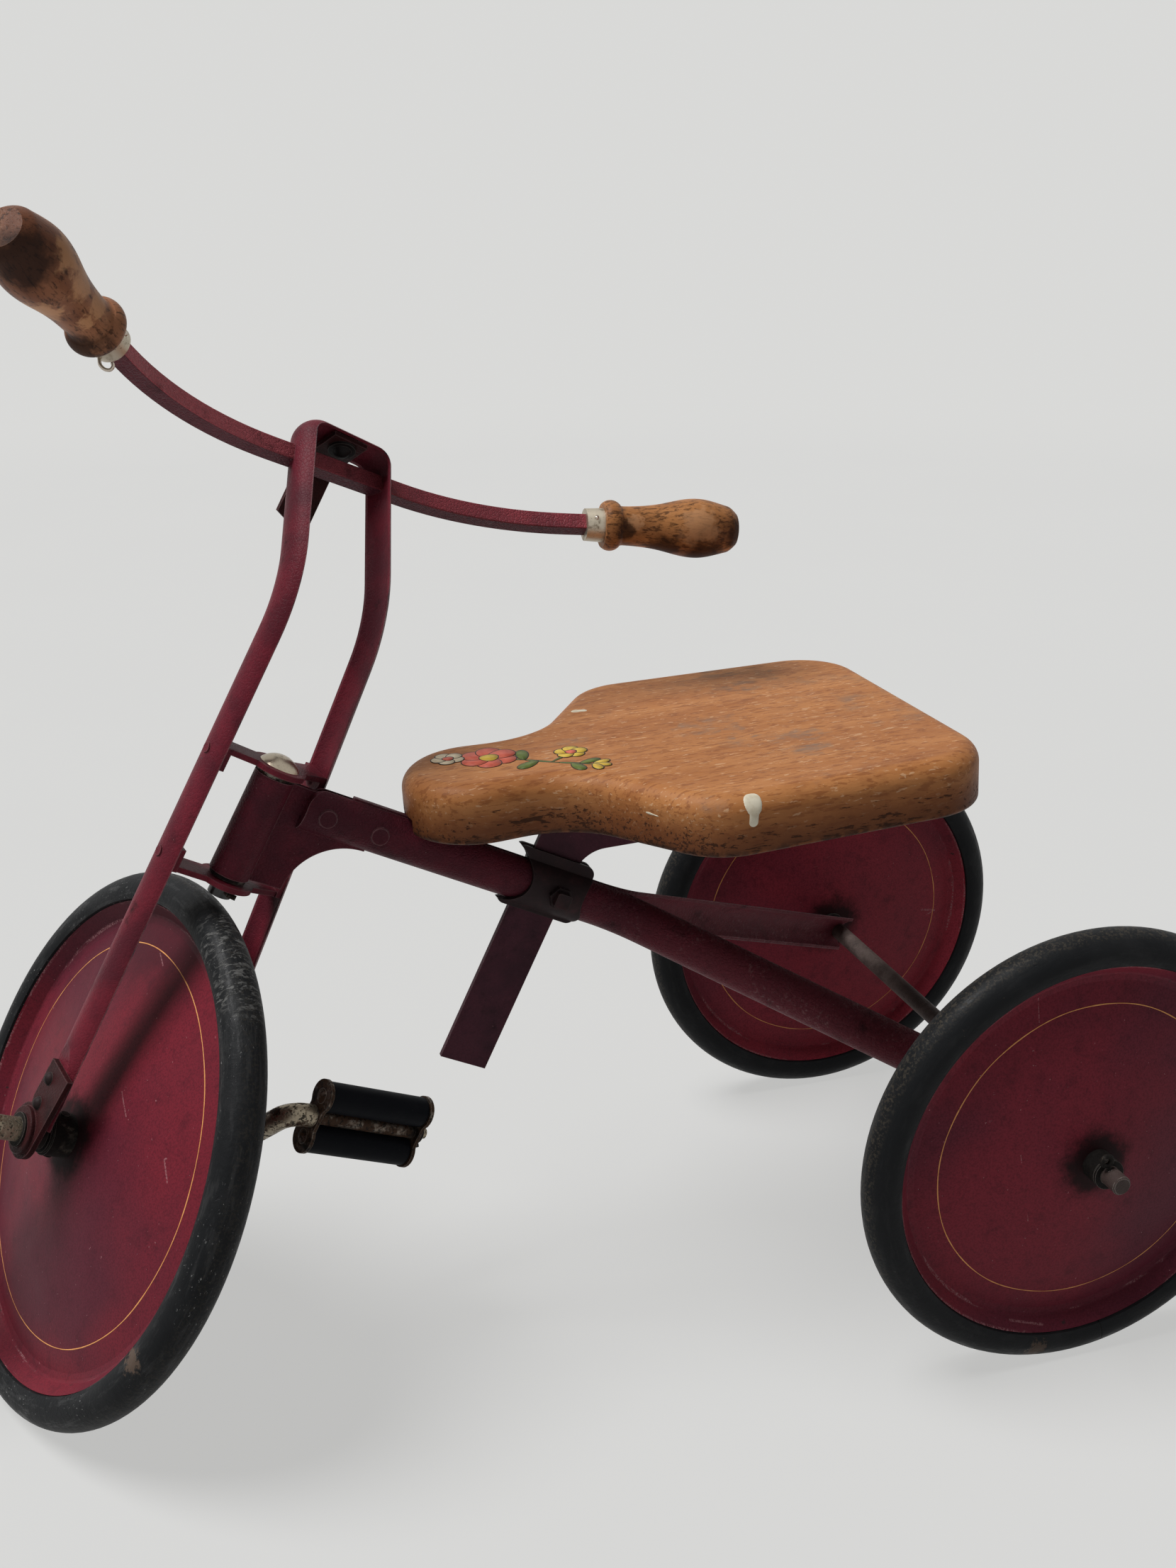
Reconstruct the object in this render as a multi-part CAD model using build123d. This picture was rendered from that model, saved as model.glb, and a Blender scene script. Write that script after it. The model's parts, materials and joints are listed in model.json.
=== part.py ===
from build123d import *
import os
from math import atan2, cos, degrees, hypot, radians, sin, sqrt, tan

# Children's tricycle, in millimetres: +X forward, +Y to the rider's left, +Z up, floor at Z = 0.
# It is drawn with the rear axle over the origin and the fork turned to its right-hand stop,
# and every piece is shifted at the end so that the origin lies under the middle of the whole.

# Wheels
rear_wheel_radius = 120.0
front_wheel_radius = 139.5
half_track = 154.0
tyre_radius = 11.0
tyre_cover = 16.8
tyre_lip = 0.6
rubber_gap = 0.15
disc_sheet = 1.2
disc_crown = 1.6
land_width = 4.0
flange_width = 6.2
flange_height = 8.4
valley_fillet = 2.0
base_gap = 2.4
rear_dish = 16.0
front_dish = 19.0
rear_hub_radius = 8.0
rear_hub_inner = 17.5
rear_hub_outer = 25.5
front_hub_radius = 11.0
front_hub_half = 31.0

# Fits
running_gap = 0.07
face_gap = 0.3

# Rear axle
axle_radius = 5.0
axle_stub = 12.9
axle_chamfer = 0.8
washer_thick = 1.5
axle_washer_radius = 8.0
split_pin_radius = 1.3
split_pin_eye = 2.6
split_pin_reach = 7.5
split_pin_bend = 55.0
split_pin_tip = 4.0
axle_pin_turn = 20.0

# Frame
spine_meets = 200.3
spine_nose_gap = 19.7
spine_height = 23.0
spine_depth = 7.8
spine_wall = 2.0
spine_nose_round = 9.0
spine_nose_taper = 13.0
spine_nose_depth = 0.6
split_at = 216.0
leg_spread = 122.0
leg_bend_radius = 60.0
leg_overrun = 5.0
web_half = 1.6
web_rise = 1.2
web_length = 66.0
gusset_radius = 32.0
gusset_toe = 17.0
rivet_radius = 4.5
rivet_from_nose = 11.5
rivet_pitch = 28.2
rivet_proud = 0.7

# Steering head
head_angle = 28.5
steer_angle = -73.5
head_axis_x = 471.0
lug_radius = 10.3
lug_wall = 1.6
lug_bottom = 156.0
lug_top = 210.6
pin_radius = 6.0
pin_dome_radius = 10.2
pin_dome_height = 5.2
pin_tail = 6.5
pin_washer_radius = 9.5
pin_keeper_reach = 2.5
bush_flange = 2.0
bush_flange_radius = 9.4
bush_length = 14.0

# Fork, in its own frame: X forward, Y left, Z up the steering axis, origin at the front axle
fork_width = 22.0
fork_depth = 5.0
fork_wall = 2.0
fork_spread = 37.3
fork_taper = 0.0395
fork_foot_x = -4.4
fork_foot_z = 8.0
fork_bend_x = 17.8
fork_bend_z = 297.5
fork_bend_radius = 72.0
fork_lean = 41.8
fork_head = 92.0
fork_corner_radius = 7.0
taper_start = 50.0
taper_end = 42.0
tongue_face = 39.2
crown_sheet = 3.0
crown_eye_radius = 14.0
crown_strap = 16.0
crown_tab_height = 12.0
crown_rivet_radius = 2.6
crown_rivet_head = 3.6
crown_rivet_rise = 1.3
crown_tab_inset = 1.0

# Fork lugs and front axle
lug_plate = 3.0
lug_plate_top = 39.0
lug_plate_front = 6.0
lug_plate_back = 19.0
lug_plate_slant = 2.0
lug_eye_radius = 14.0
lug_boss_radius = 12.0
lug_boss = 2.6
lug_boss_round = 1.0
lug_rivet_z = (30.5, 16.5)
lug_rivet_radius = 3.4
lug_rivet_rise = 2.6
lug_rivet_shoulder = 1.3
lug_rivet_ahead = 3.0
axle_bush_radius = 8.4
bush_proud = 1.2

# Cranks and pedals
crank_rod_radius = 6.0
crank_radius = 71.0
crank_angle = 129.0
crank_arm_y = 66.0
crank_bend_radius = 10.0
crank_spacer_radius = 10.0
hub_pin_radius = 2.4
hub_pin_inset = 6.0
hub_pin_proud = 1.2
spindle_radius = 3.0
spindle_washer_radius = 6.0
spindle_pin_reach = 1.6
pedal_inner_y = 79.5
pedal_length = 67.0
pedal_plate = 2.0
block_radius = 8.0
block_spacing = 24.0
block_round = 1.4
pedal_rod_radius = 2.4
rod_head_radius = 4.1
rod_head_rise = 1.4
pedal_tube_radius = 3.8
pedal_plate_rim = 0.8
pedal_waist = 13.0
pedal_waist_round = 3.5
pedal_tilt = 1.0

# Handlebar, bent in the plane square to the fork's leaning head
bar_side = 9.0
bar_edge = 0.7
bar_along_head = 78.0
bar_ahead = 4.5
bar_roll = -3.6
bar_yaw = 3.8
bar_straight = 39.0
bar_bend_radius = 186.0
bar_sweep = 31.4
ferrule_from_bend = 10.7
ferrule_length = 10.0
ferrule_radius = 9.4
ferrule_taper = 0.5
bar_in_grip = 50.0
grip_length = 77.0
bead_radius = 14.0
bead_length = 9.0
bead_drop = 1.8
neck_at = 13.5
neck_radius = 10.8
waist_at = 34.8
waist_radius = 13.2
palm_at = 58.0
palm_radius = 16.2
heel_length = 6.0
heel_radius = 13.2
grip_end_radius = 9.2
bead_run_off = 0.35
heel_run_off = 1.0
grip_pin_radius = 1.1
grip_pin_proud = 0.6
wire_loop_radius = 3.4
wire_radius = 0.8

# Front bracket on the bridge of the fork
bracket_width = 20.0
bracket_sheet = 2.4
bracket_gap = 0.1
bracket_tab = 8.0
bracket_ahead = 20.5
bracket_drop = 34.0
bracket_point = 4.0
bridge_bolt_radius = 3.0
bolt_head = 3.4
bolt_head_radius = 4.8
bolt_washer_radius = 7.0

# Seat
seat_height = 319.0
seat_tilt = -2.9
board_thick = 30.0
board_top_round = 10.0
board_under_round = 3.0
board_back = 26.5
board_back_half = 101.5
board_shoulder = 182.0
board_shoulder_half = 107.0
board_neck = 231.0
board_neck_half = 34.5
board_nose = 308.2
board_nose_half = 41.0
back_corner_radius = 37.0
shoulder_radius = 35.0
neck_radius_seat = 45.0
nose_radius = 37.0
post_at = 262.0
post_width = 26.5
post_thick = 3.0
post_tail = 106.5
post_bend_radius = 20.0
arm_depth = 25.0
arm_back = 96.0
seat_plate_thick = 2.6
seat_plate_width = 46.0
seat_plate_front = 232.0
seat_plate_round = 6.0
screw_radius = 2.2
screw_head_radius = 4.6
screw_head_rise = 1.8
screw_head_round = 1.2
screw_length = 17.0
screw_inset = 11.0
groove_gap = 0.5

# Seat clamp
clamp_sheet = 2.2
clamp_back = 238.5
clamp_front = 285.0
clamp_top = 7.0
clamp_under = 3.2
clamp_bite = 12.5
clamp_back_bite = 3.2
clamp_bite_radius = 17.0
clamp_corner = 5.0
clamp_bolt_at = 255.2
clamp_bolt_radius = 3.0
clamp_head_side = 8.0
clamp_head_thick = 4.0
clamp_head_round = 1.2
clamp_nut_flats = 11.0
clamp_nut_thick = 3.0

# Values that follow from the sizes above
rear_axle_z = rear_wheel_radius
front_tilt = sqrt(1 - (sin(radians(head_angle)) * sin(radians(steer_angle))) ** 2)
front_axle_z = (front_wheel_radius - tyre_radius) * front_tilt + tyre_radius
axle_half = half_track + rear_hub_outer + axle_stub
spine_run = head_axis_x - spine_meets * sin(radians(head_angle))
spine_rise = front_axle_z + spine_meets * cos(radians(head_angle)) - rear_axle_z
spine_angle = degrees(atan2(spine_rise, spine_run))
spine_length = hypot(spine_run, spine_rise) - spine_nose_gap
head_dir = (cos(radians(head_angle)), 0, sin(radians(head_angle)))
head_up = (-sin(radians(head_angle)), 0, cos(radians(head_angle)))
upper_crown_z = lug_top + bush_flange + 2 * face_gap
lower_crown_z = lug_bottom - bush_flange - 2 * face_gap - crown_sheet
lug_plate_face = tongue_face + lug_plate
lug_boss_face = lug_plate_face + lug_boss
pedal_outer_y = pedal_inner_y + pedal_length
crank_x = crank_radius * cos(radians(crank_angle))
crank_z = crank_radius * sin(radians(crank_angle))

# Frames of the sub-assemblies
spine_at = Plane(
    origin=(0, 0, rear_axle_z),
    x_dir=(cos(radians(spine_angle)), 0, sin(radians(spine_angle))),
    z_dir=(-sin(radians(spine_angle)), 0, cos(radians(spine_angle))),
).location
head_at = Plane(origin=(head_axis_x, 0, front_axle_z), x_dir=head_dir, z_dir=head_up).location
fork_at = head_at * Rot(0, 0, steer_angle)
seat_at = Plane(
    origin=(0, 0, seat_height),
    x_dir=(cos(radians(seat_tilt)), 0, sin(radians(seat_tilt))),
    z_dir=(-sin(radians(seat_tilt)), 0, cos(radians(seat_tilt))),
).location


def rod_y(radius, start, end):
    """A round bar along Y between two stations."""
    return Pos(0, (start + end) / 2, 0) * Rot(90, 0, 0) * Cylinder(radius, end - start)


def ring_y(inner, outer, start, end):
    """A ring round the Y axis between two stations."""
    return rod_y(outer, start, end) - rod_y(inner, start - 1, end + 1)


def rod_z(radius, start, end):
    """A round bar along Z between two heights."""
    return Pos(0, 0, (start + end) / 2) * Cylinder(radius, end - start)


def dome_y(radius, height, face, side):
    """A low dome that stands on the face at a station and points to one side of Y."""
    ball = (radius ** 2 + height ** 2) / (2 * height)
    cap = Sphere(ball) & (Pos(0, 0, ball) * Box(4 * ball, 4 * ball, 2 * height))
    return Pos(0, face - side * (ball - height), 0) * Rot(-90 * side, 0, 0) * cap


def split_pin(reach):
    """A split pin along Z: a shank through the piece, an eye above it and a bent tip below."""
    shank = rod_z(split_pin_radius, -reach, reach)
    eye = Pos(0, 0, reach + split_pin_eye) * Rot(90, 0, 0) * Torus(split_pin_eye, split_pin_radius)
    tip = rod_z(split_pin_radius, -split_pin_tip, split_pin_radius / 2)
    return shank + eye + Pos(0, 0, -reach) * Rot(0, split_pin_bend, 0) * tip


def half_round(width, depth, wall):
    """Section of a half-round channel: lips on the X = 0 line, hollow side towards -X."""
    half = width / 2
    outline = [
        ThreePointArc((0, half), (depth, 0), (0, -half)),
        Line((0, -half), (0, wall - half)),
        ThreePointArc((0, wall - half), (depth - wall, 0), (0, half - wall)),
        Line((0, half - wall), (0, half)),
    ]
    return make_face(outline)


def half_disc(width, depth):
    """Solid half-round section: its flat on the X = 0 line, its crest towards +X."""
    half = width / 2
    arch = ThreePointArc((0, half), (depth, 0), (0, -half))
    return make_face([arch, Line((0, -half), (0, half))])


# Wheels


def wheel_disc(wheel_radius, hub_radius, dish):
    """One dished disc: its outer face looks to +Y and its flat land lies on the middle plane."""
    rim_radius = wheel_radius - tyre_cover
    valley = rim_radius - flange_width
    land = valley - land_width
    crown = ((hub_radius + land) / 2, (dish + disc_sheet) / 2 + disc_crown)
    outer = [
        ThreePointArc((hub_radius, dish), crown, (land, disc_sheet)),
        Line((land, disc_sheet), (valley, disc_sheet)),
        Line((valley, disc_sheet), (rim_radius, flange_height)),
    ]
    inner = [Pos(0, -disc_sheet) * edge for edge in outer]
    ends = [Line(inner[0] @ 0, outer[0] @ 0), Line(inner[2] @ 1, outer[2] @ 1)]
    profile = make_face(outer + inner + ends)
    corners = [v for v in profile.vertices() if abs(v.X - valley) < 0.01]
    return revolve(fillet(corners, valley_fillet), Axis.Y)


def tyre(wheel_radius):
    """A solid rubber tyre seated in the groove between the flanges of two discs."""
    rim_radius = wheel_radius - tyre_cover
    slope = (flange_height - disc_sheet) / flange_width
    base = rim_radius - flange_width + base_gap
    shoulder = rim_radius + tyre_lip
    base_half = slope * base_gap - rubber_gap
    lip_half = slope * flange_width - rubber_gap
    shoulder_half = sqrt(tyre_radius ** 2 - (wheel_radius - tyre_radius - shoulder) ** 2)
    section = [
        Line((base, -base_half), (base, base_half)),
        Line((base, base_half), (rim_radius, lip_half)),
        Line((rim_radius, lip_half), (shoulder, shoulder_half)),
        ThreePointArc((shoulder, shoulder_half), (wheel_radius, 0), (shoulder, -shoulder_half)),
        Line((shoulder, -shoulder_half), (rim_radius, -lip_half)),
        Line((rim_radius, -lip_half), (base, -base_half)),
    ]
    return revolve(make_face(section), Axis.Y)


def rear_wheel(side):
    """One rear wheel on the axle: side is 1 on the left and -1 on the right."""
    outer = wheel_disc(rear_wheel_radius, rear_hub_radius, rear_dish)
    inner = mirror(outer, Plane.XZ)
    hub = ring_y(axle_radius + running_gap, rear_hub_radius, -rear_hub_inner, rear_hub_outer)
    place = Pos(0, side * half_track, rear_axle_z)
    if side < 0:
        outer, inner, hub = inner, outer, mirror(hub, Plane.XZ)
    name = "rear_left" if side > 0 else "rear_right"
    return {
        name + "_tyre": place * tyre(rear_wheel_radius),
        name + "_outer_disc": place * outer,
        name + "_inner_disc": place * inner,
        name + "_hub": place * hub,
    }


def rear_axle():
    """The axle with its washers and split pins."""
    at = Pos(0, 0, rear_axle_z)
    bar = rod_y(axle_radius, -axle_half, axle_half)
    bar = chamfer(bar.edges().filter_by(GeomType.CIRCLE), axle_chamfer)
    hub_outer = half_track + rear_hub_outer + face_gap
    pin_y = hub_outer + washer_thick + split_pin_radius + face_gap
    washers = []
    pins = []
    for side in (1, -1):
        ring = ring_y(axle_radius, axle_washer_radius, hub_outer, hub_outer + washer_thick)
        washers.append(ring if side > 0 else mirror(ring, Plane.XZ))
        pins.append(Pos(0, side * pin_y, 0) * Rot(0, axle_pin_turn, 0) * split_pin(split_pin_reach))
    for pin in pins:
        bar -= pin
    return {
        "rear_axle": at * bar,
        "axle_keepers": at * Compound(children=washers + pins),
    }


# Frame


def head_axis_in_spine(height):
    """Point of the steering axis at a height above the front axle, in the spine's frame."""
    point = spine_at.inverse() * head_at * Pos(0, 0, height)
    return point.position


def nose_taper():
    """Wedge that pares the nose of the right half, where the fork leg comes to rest."""
    outside = 3 * spine_depth
    corners = [
        (spine_length - spine_nose_taper, -web_half - spine_depth),
        (spine_length, -web_half - spine_nose_depth),
        (spine_length, -outside),
        (spine_length - spine_nose_taper, -outside),
    ]
    return extrude(make_face(Polyline(*corners, close=True)), spine_height, both=True)


def backbone_half():
    """Left half of the backbone: a half-round channel that bends outwards to the rear axle."""
    run = (leg_spread - web_half) / split_at
    end = (-leg_overrun, leg_spread + leg_overrun * run)
    path = FilletPolyline(
        (spine_length, web_half, 0),
        (split_at, web_half, 0),
        (end[0], end[1], 0),
        radius=leg_bend_radius,
    )
    start = Plane(origin=(spine_length, web_half, 0), x_dir=(0, 1, 0), z_dir=(1, 0, 0))
    shell = sweep(start * half_round(spine_height, spine_depth, spine_wall), path)
    shell += extrude(start * half_disc(spine_height, spine_depth), -spine_nose_taper - spine_wall)
    round_at = Pos(spine_length, 0, spine_height / 2)
    block = Box(2 * spine_nose_round, 6 * spine_depth, 2 * spine_nose_round)
    keep = Rot(90, 0, 0) * Cylinder(spine_nose_round, 6 * spine_depth)
    shell -= round_at * (block - Pos(-spine_nose_round, 0, -spine_nose_round) * keep)
    return shell - rod_y(axle_radius, 0, axle_half)


def frame_parts():
    """Head lug, bushes, backbone halves and rivets."""
    half = backbone_half()
    low = head_axis_in_spine(lug_bottom)
    high = head_axis_in_spine(lug_top)
    under = -spine_height / 2
    tail = spine_length - web_length
    toe_x = low.X - lug_radius - gusset_toe
    arc_end = toe_x - gusset_radius
    middle = gusset_radius * sqrt(0.5)
    web_edges = [
        Polyline(
            (toe_x, low.Z),
            (low.X, low.Z),
            (high.X, high.Z),
            (high.X - lug_radius, spine_height / 2 + web_rise),
            (tail, spine_height / 2 + web_rise),
            (tail, under),
            (arc_end, under),
            (arc_end, low.Z + gusset_radius),
        ),
        ThreePointArc(
            (arc_end, low.Z + gusset_radius),
            (arc_end + middle, low.Z + middle),
            (toe_x, low.Z),
        ),
    ]
    web = extrude(Plane.XZ * make_face(web_edges), web_half, both=True)
    sleeve = rod_z(lug_radius, lug_bottom, lug_top)
    bore = rod_z(lug_radius - lug_wall, lug_bottom - bush_flange, lug_top + bush_flange)
    lug = head_at * sleeve + spine_at * web
    lug -= head_at * bore
    trim_height = 6 * lug_radius
    trim = Box(8 * lug_radius, 4 * lug_radius, trim_height)
    lug -= head_at * Pos(0, 0, lug_bottom - trim_height / 2) * trim
    lug -= head_at * Pos(0, 0, lug_top + trim_height / 2) * trim
    rivets = []
    holes = []
    length = web_half + spine_depth + rivet_proud
    taper = nose_taper()
    for index in range(2):
        at = Pos(spine_length - rivet_from_nose - index * rivet_pitch, 0, 0)
        hole = at * rod_y(rivet_radius, -length, length)
        rivets.append(spine_at * (hole - taper))
        holes.append(spine_at * hole)
    left = spine_at * half
    right = spine_at * (mirror(half, Plane.XZ) - taper)
    for hole in holes:
        left -= hole
        right -= hole
        lug -= hole
    bolt = spine_at * Pos(clamp_bolt_at, 0, 0) * rod_y(clamp_bolt_radius, web_half, length)
    parts = {
        "head_lug": lug,
        "backbone_left": left - bolt,
        "backbone_right": right,
        "head_rivets": Compound(children=rivets),
    }
    bush = rod_z(lug_radius - lug_wall, -bush_length, 0) + rod_z(bush_flange_radius, 0, bush_flange)
    bush -= rod_z(pin_radius + running_gap, -bush_length, bush_flange)
    parts["head_bush_upper"] = head_at * Pos(0, 0, lug_top) * bush
    parts["head_bush_lower"] = head_at * Pos(0, 0, lug_bottom) * Rot(180, 0, 0) * bush
    return parts


def clamp_saddle():
    """Left saddle of the seat clamp: a hat section over the backbone with hollowed ends."""
    half = spine_height / 2
    high = half + clamp_top
    low = half + clamp_under
    arch = half_disc(spine_height + 2 * clamp_sheet, spine_depth + clamp_sheet)
    hollow = half_disc(spine_height, spine_depth)
    rim = Pos(clamp_sheet / 2, (high - low) / 2) * Rectangle(clamp_sheet, high + low)
    start = Plane(origin=(clamp_back, web_half, 0), x_dir=(0, 1, 0), z_dir=(1, 0, 0))
    length = clamp_front - clamp_back
    saddle = extrude(start * (arch + rim - hollow), length)
    middle = (high - low) / 2
    outline = Pos(clamp_back + length / 2, middle) * RectangleRounded(length, high + low, clamp_corner)
    saddle &= extrude(Plane.XZ * outline, 3 * spine_depth, both=True)
    bite = rod_y(clamp_bite_radius, 0, 3 * spine_depth)
    saddle -= Pos(clamp_front + clamp_bite_radius - clamp_bite, 0, middle) * bite
    saddle -= Pos(clamp_back - clamp_bite_radius + clamp_back_bite, 0, middle) * bite
    return saddle


def seat_clamp():
    """Both saddles, the set screw that bears on the seat post, and its lock nut."""
    saddle = clamp_saddle()
    bolt_at = Pos(clamp_bolt_at, 0, 0)
    face = web_half + spine_depth + clamp_sheet
    under_head = face + clamp_nut_thick
    shank = rod_y(clamp_bolt_radius, web_half, under_head)
    head = Box(clamp_head_side, clamp_head_thick, clamp_head_side)
    head = fillet(head.edges().filter_by(Axis.Y), clamp_head_round)
    head = Pos(0, under_head + clamp_head_thick / 2, 0) * head
    nut_face = RegularPolygon(clamp_nut_flats / 2, 6, major_radius=False)
    nut = Pos(0, face, 0) * extrude(Plane.XZ * nut_face, -clamp_nut_thick)
    return {
        "clamp_left": spine_at * (saddle - bolt_at * shank),
        "clamp_right": spine_at * mirror(saddle, Plane.XZ),
        "clamp_bolt": spine_at * bolt_at * (shank + head),
        "clamp_nut": spine_at * bolt_at * (nut - shank),
    }


# Seat


def seat_under(x):
    """Height of the seat plate's lower face above the floor at a distance from the rear axle."""
    top = seat_height + x * tan(radians(seat_tilt))
    return top - (board_thick + seat_plate_thick) / cos(radians(seat_tilt))


def spine_point(x, z):
    """Floor-frame X and Z of a point of the spine's middle plane."""
    point = (spine_at * Pos(x, 0, z)).position
    return point.X, point.Z


def edge_meets(x, drop):
    """Where the post's edge at a spine station meets the line at a drop below the seat plate."""
    foot = spine_point(x, 0)
    lean = tan(radians(spine_angle))
    slope = tan(radians(seat_tilt))
    line_at_zero = seat_under(0) - drop
    # the edge runs up and back: X = foot X - lean * (Z - foot Z)
    height = (line_at_zero + slope * (foot[0] + lean * foot[1])) / (1 + slope * lean)
    return foot[0] - lean * (height - foot[1]), height


def seat_parts():
    """Wooden board, plate, flat post with its arm, and the wood screws."""
    points = [
        (board_back, board_back_half),
        (board_shoulder, board_shoulder_half),
        (board_neck, board_neck_half),
        (board_nose, board_nose_half),
    ]
    radii = [back_corner_radius, shoulder_radius, neck_radius_seat, nose_radius]
    mirrored = [(x, -y) for x, y in reversed(points)]
    outline = make_face(Polyline(*points, *mirrored, close=True))
    for (x, y), radius in zip(points, radii):
        corners = [v for v in outline.vertices() if abs(v.X - x) < 0.01 and abs(abs(v.Y) - y) < 0.01]
        outline = fillet(corners, radius)
    board = extrude(outline, -board_thick)
    board = fillet(board.faces().sort_by(Axis.Z)[-1].edges(), board_top_round)
    board = fillet(board.faces().sort_by(Axis.Z)[0].edges(), board_under_round)

    plate_length = seat_plate_front - arm_back
    plate_x = (seat_plate_front + arm_back) / 2
    plate_top = -board_thick
    plate = Pos(plate_x, 0, plate_top - seat_plate_thick / 2)
    plate *= Box(plate_length, seat_plate_width, seat_plate_thick)
    plate = fillet(plate.edges().filter_by(Axis.Z), seat_plate_round)

    screws = []
    for x in (arm_back + screw_inset, seat_plate_front - screw_inset):
        for y in (screw_inset - seat_plate_width / 2, seat_plate_width / 2 - screw_inset):
            low = plate_top - seat_plate_thick
            shank = rod_z(screw_radius, low, low + screw_length)
            cap = rod_z(screw_head_radius, low - screw_head_rise, low)
            cap = fillet(cap.edges().sort_by(Axis.Z)[0:1], screw_head_round)
            screws.append(Pos(x, y, 0) * (shank + cap))
    for screw in screws:
        board -= screw
        plate -= screw

    groove_half = web_half + spine_depth + groove_gap
    groove_top = spine_height / 2 + web_rise + groove_gap
    groove_length = spine_length / 2
    groove = Pos(spine_length - groove_length / 2, 0, groove_top - spine_height / 2)
    groove *= Box(groove_length, 2 * groove_half, spine_height)
    board -= seat_at.inverse() * spine_at * groove

    front_edge = post_at + post_width / 2
    rear_edge = post_at - post_width / 2
    knee = edge_meets(rear_edge, arm_depth)
    blade = make_face(
        Polyline(
            spine_point(front_edge, -post_tail),
            edge_meets(front_edge, 0),
            (arm_back, seat_under(arm_back)),
            (arm_back, seat_under(arm_back) - arm_depth),
            knee,
            spine_point(rear_edge, -post_tail),
            close=True,
        )
    )
    bend = [v for v in blade.vertices() if hypot(v.X - knee[0], v.Y - knee[1]) < 0.01]
    blade = fillet(bend, post_bend_radius)
    post = extrude(Plane.XZ * blade, post_thick / 2, both=True)
    return {
        "seat_board": seat_at * board,
        "seat_plate": seat_at * plate,
        "seat_post": post,
        "seat_screws": seat_at * Compound(children=screws),
    }


# Fork


def fork_lip(z):
    """Distance of a fork leg's lips from the middle plane at a height above the axle."""
    return fork_spread - fork_taper * z


def head_point(along, out=0.0):
    """Point in the fork's leaning head: distance up from its bend and distance forward of its line."""
    lean = radians(fork_lean)
    x = fork_bend_x + along * sin(lean) + out * cos(lean)
    z = fork_bend_z + along * cos(lean) - out * sin(lean)
    return x, z


def between_legs():
    """Prism that fills the space between the lips of the two fork legs."""
    top = fork_bend_z
    corners = [(fork_lip(0), 0), (fork_lip(top), top), (-fork_lip(top), top), (-fork_lip(0), 0)]
    return extrude(Plane.YZ * make_face(Polyline(*corners, close=True)), 2 * fork_width, both=True)


def fork_shell():
    """The fork strip: one half-round channel bent into an inverted U, its feet pressed flat."""
    head_x, head_z = head_point(fork_head)
    left = [
        (fork_foot_x, fork_lip(fork_foot_z), fork_foot_z),
        (fork_bend_x, fork_lip(fork_bend_z), fork_bend_z),
        (head_x, fork_lip(head_z), head_z),
    ]
    right = [(x, -y, z) for x, y, z in reversed(left)]
    radii = [fork_bend_radius, fork_corner_radius, fork_corner_radius, fork_bend_radius]
    path = FilletPolyline(*left, *right, radius=radii)
    along = Vector(*left[1]) - Vector(*left[0])
    start = Plane(origin=left[0], x_dir=(0, 1, fork_taper), z_dir=along)
    shell = sweep(start * half_round(fork_width, fork_depth, fork_wall), path)
    foot_length = (taper_start - fork_foot_z) / along.normalized().Z
    foot = extrude(start * half_disc(fork_width, fork_depth), foot_length)
    foot += mirror(foot, Plane.XZ)
    shell += foot
    reach = 3 * fork_depth + tongue_face
    edge = [
        (tongue_face, -taper_start),
        (tongue_face, taper_end),
        (fork_lip(taper_start) + fork_depth, taper_start),
        (reach, taper_start),
        (reach, -taper_start),
    ]
    press = extrude(Plane.YZ * make_face(Polyline(*edge, close=True)), 2 * fork_width, both=True)
    return shell - press - mirror(press, Plane.XZ)


def crown(height, tab_way):
    """A crown plate between the legs: an eye round the pin, a strap to each leg and riveted tabs."""
    half = crown_strap / 2
    base = fork_centre(height)
    reach = fork_lip(height) + crown_sheet
    plan = Circle(crown_eye_radius)
    for y in (reach, -reach):
        plan += make_face(Polyline((-half, 0), (base - half, y), (base + half, y), (half, 0), close=True))
    body = extrude(Pos(0, 0, height) * plan, crown_sheet)
    middle = height + crown_sheet / 2 + tab_way * (crown_tab_height - crown_sheet) / 2
    tab = Box(fork_width - 2 * crown_tab_inset, 2 * crown_sheet, crown_tab_height)
    for y in (fork_lip(height), -fork_lip(height)):
        body += Pos(base, y, middle) * tab
    body &= between_legs()
    return body - rod_z(pin_radius, height - crown_tab_height, height + crown_tab_height)


def fork_centre(z):
    """Forward place of the middle of a fork leg's straight part at a height above the axle."""
    share = (z - fork_foot_z) / (fork_bend_z - fork_foot_z)
    return fork_foot_x + share * (fork_bend_x - fork_foot_x)


def crown_rivets():
    """Rivets that hold the crown tabs to the legs."""
    rivets = []
    for height, way in ((upper_crown_z, -1), (lower_crown_z, 1)):
        z = height + crown_sheet / 2 + way * (crown_tab_height + crown_sheet) / 4
        start = fork_lip(z) - crown_sheet
        shank = rod_y(crown_rivet_radius, start, fork_lip(z) + fork_depth + rivet_proud)
        head = dome_y(crown_rivet_head, crown_rivet_rise, start, -1)
        rivet = Pos(fork_centre(z), 0, z) * (shank + head)
        rivets += [rivet, mirror(rivet, Plane.XZ)]
    return rivets


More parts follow.
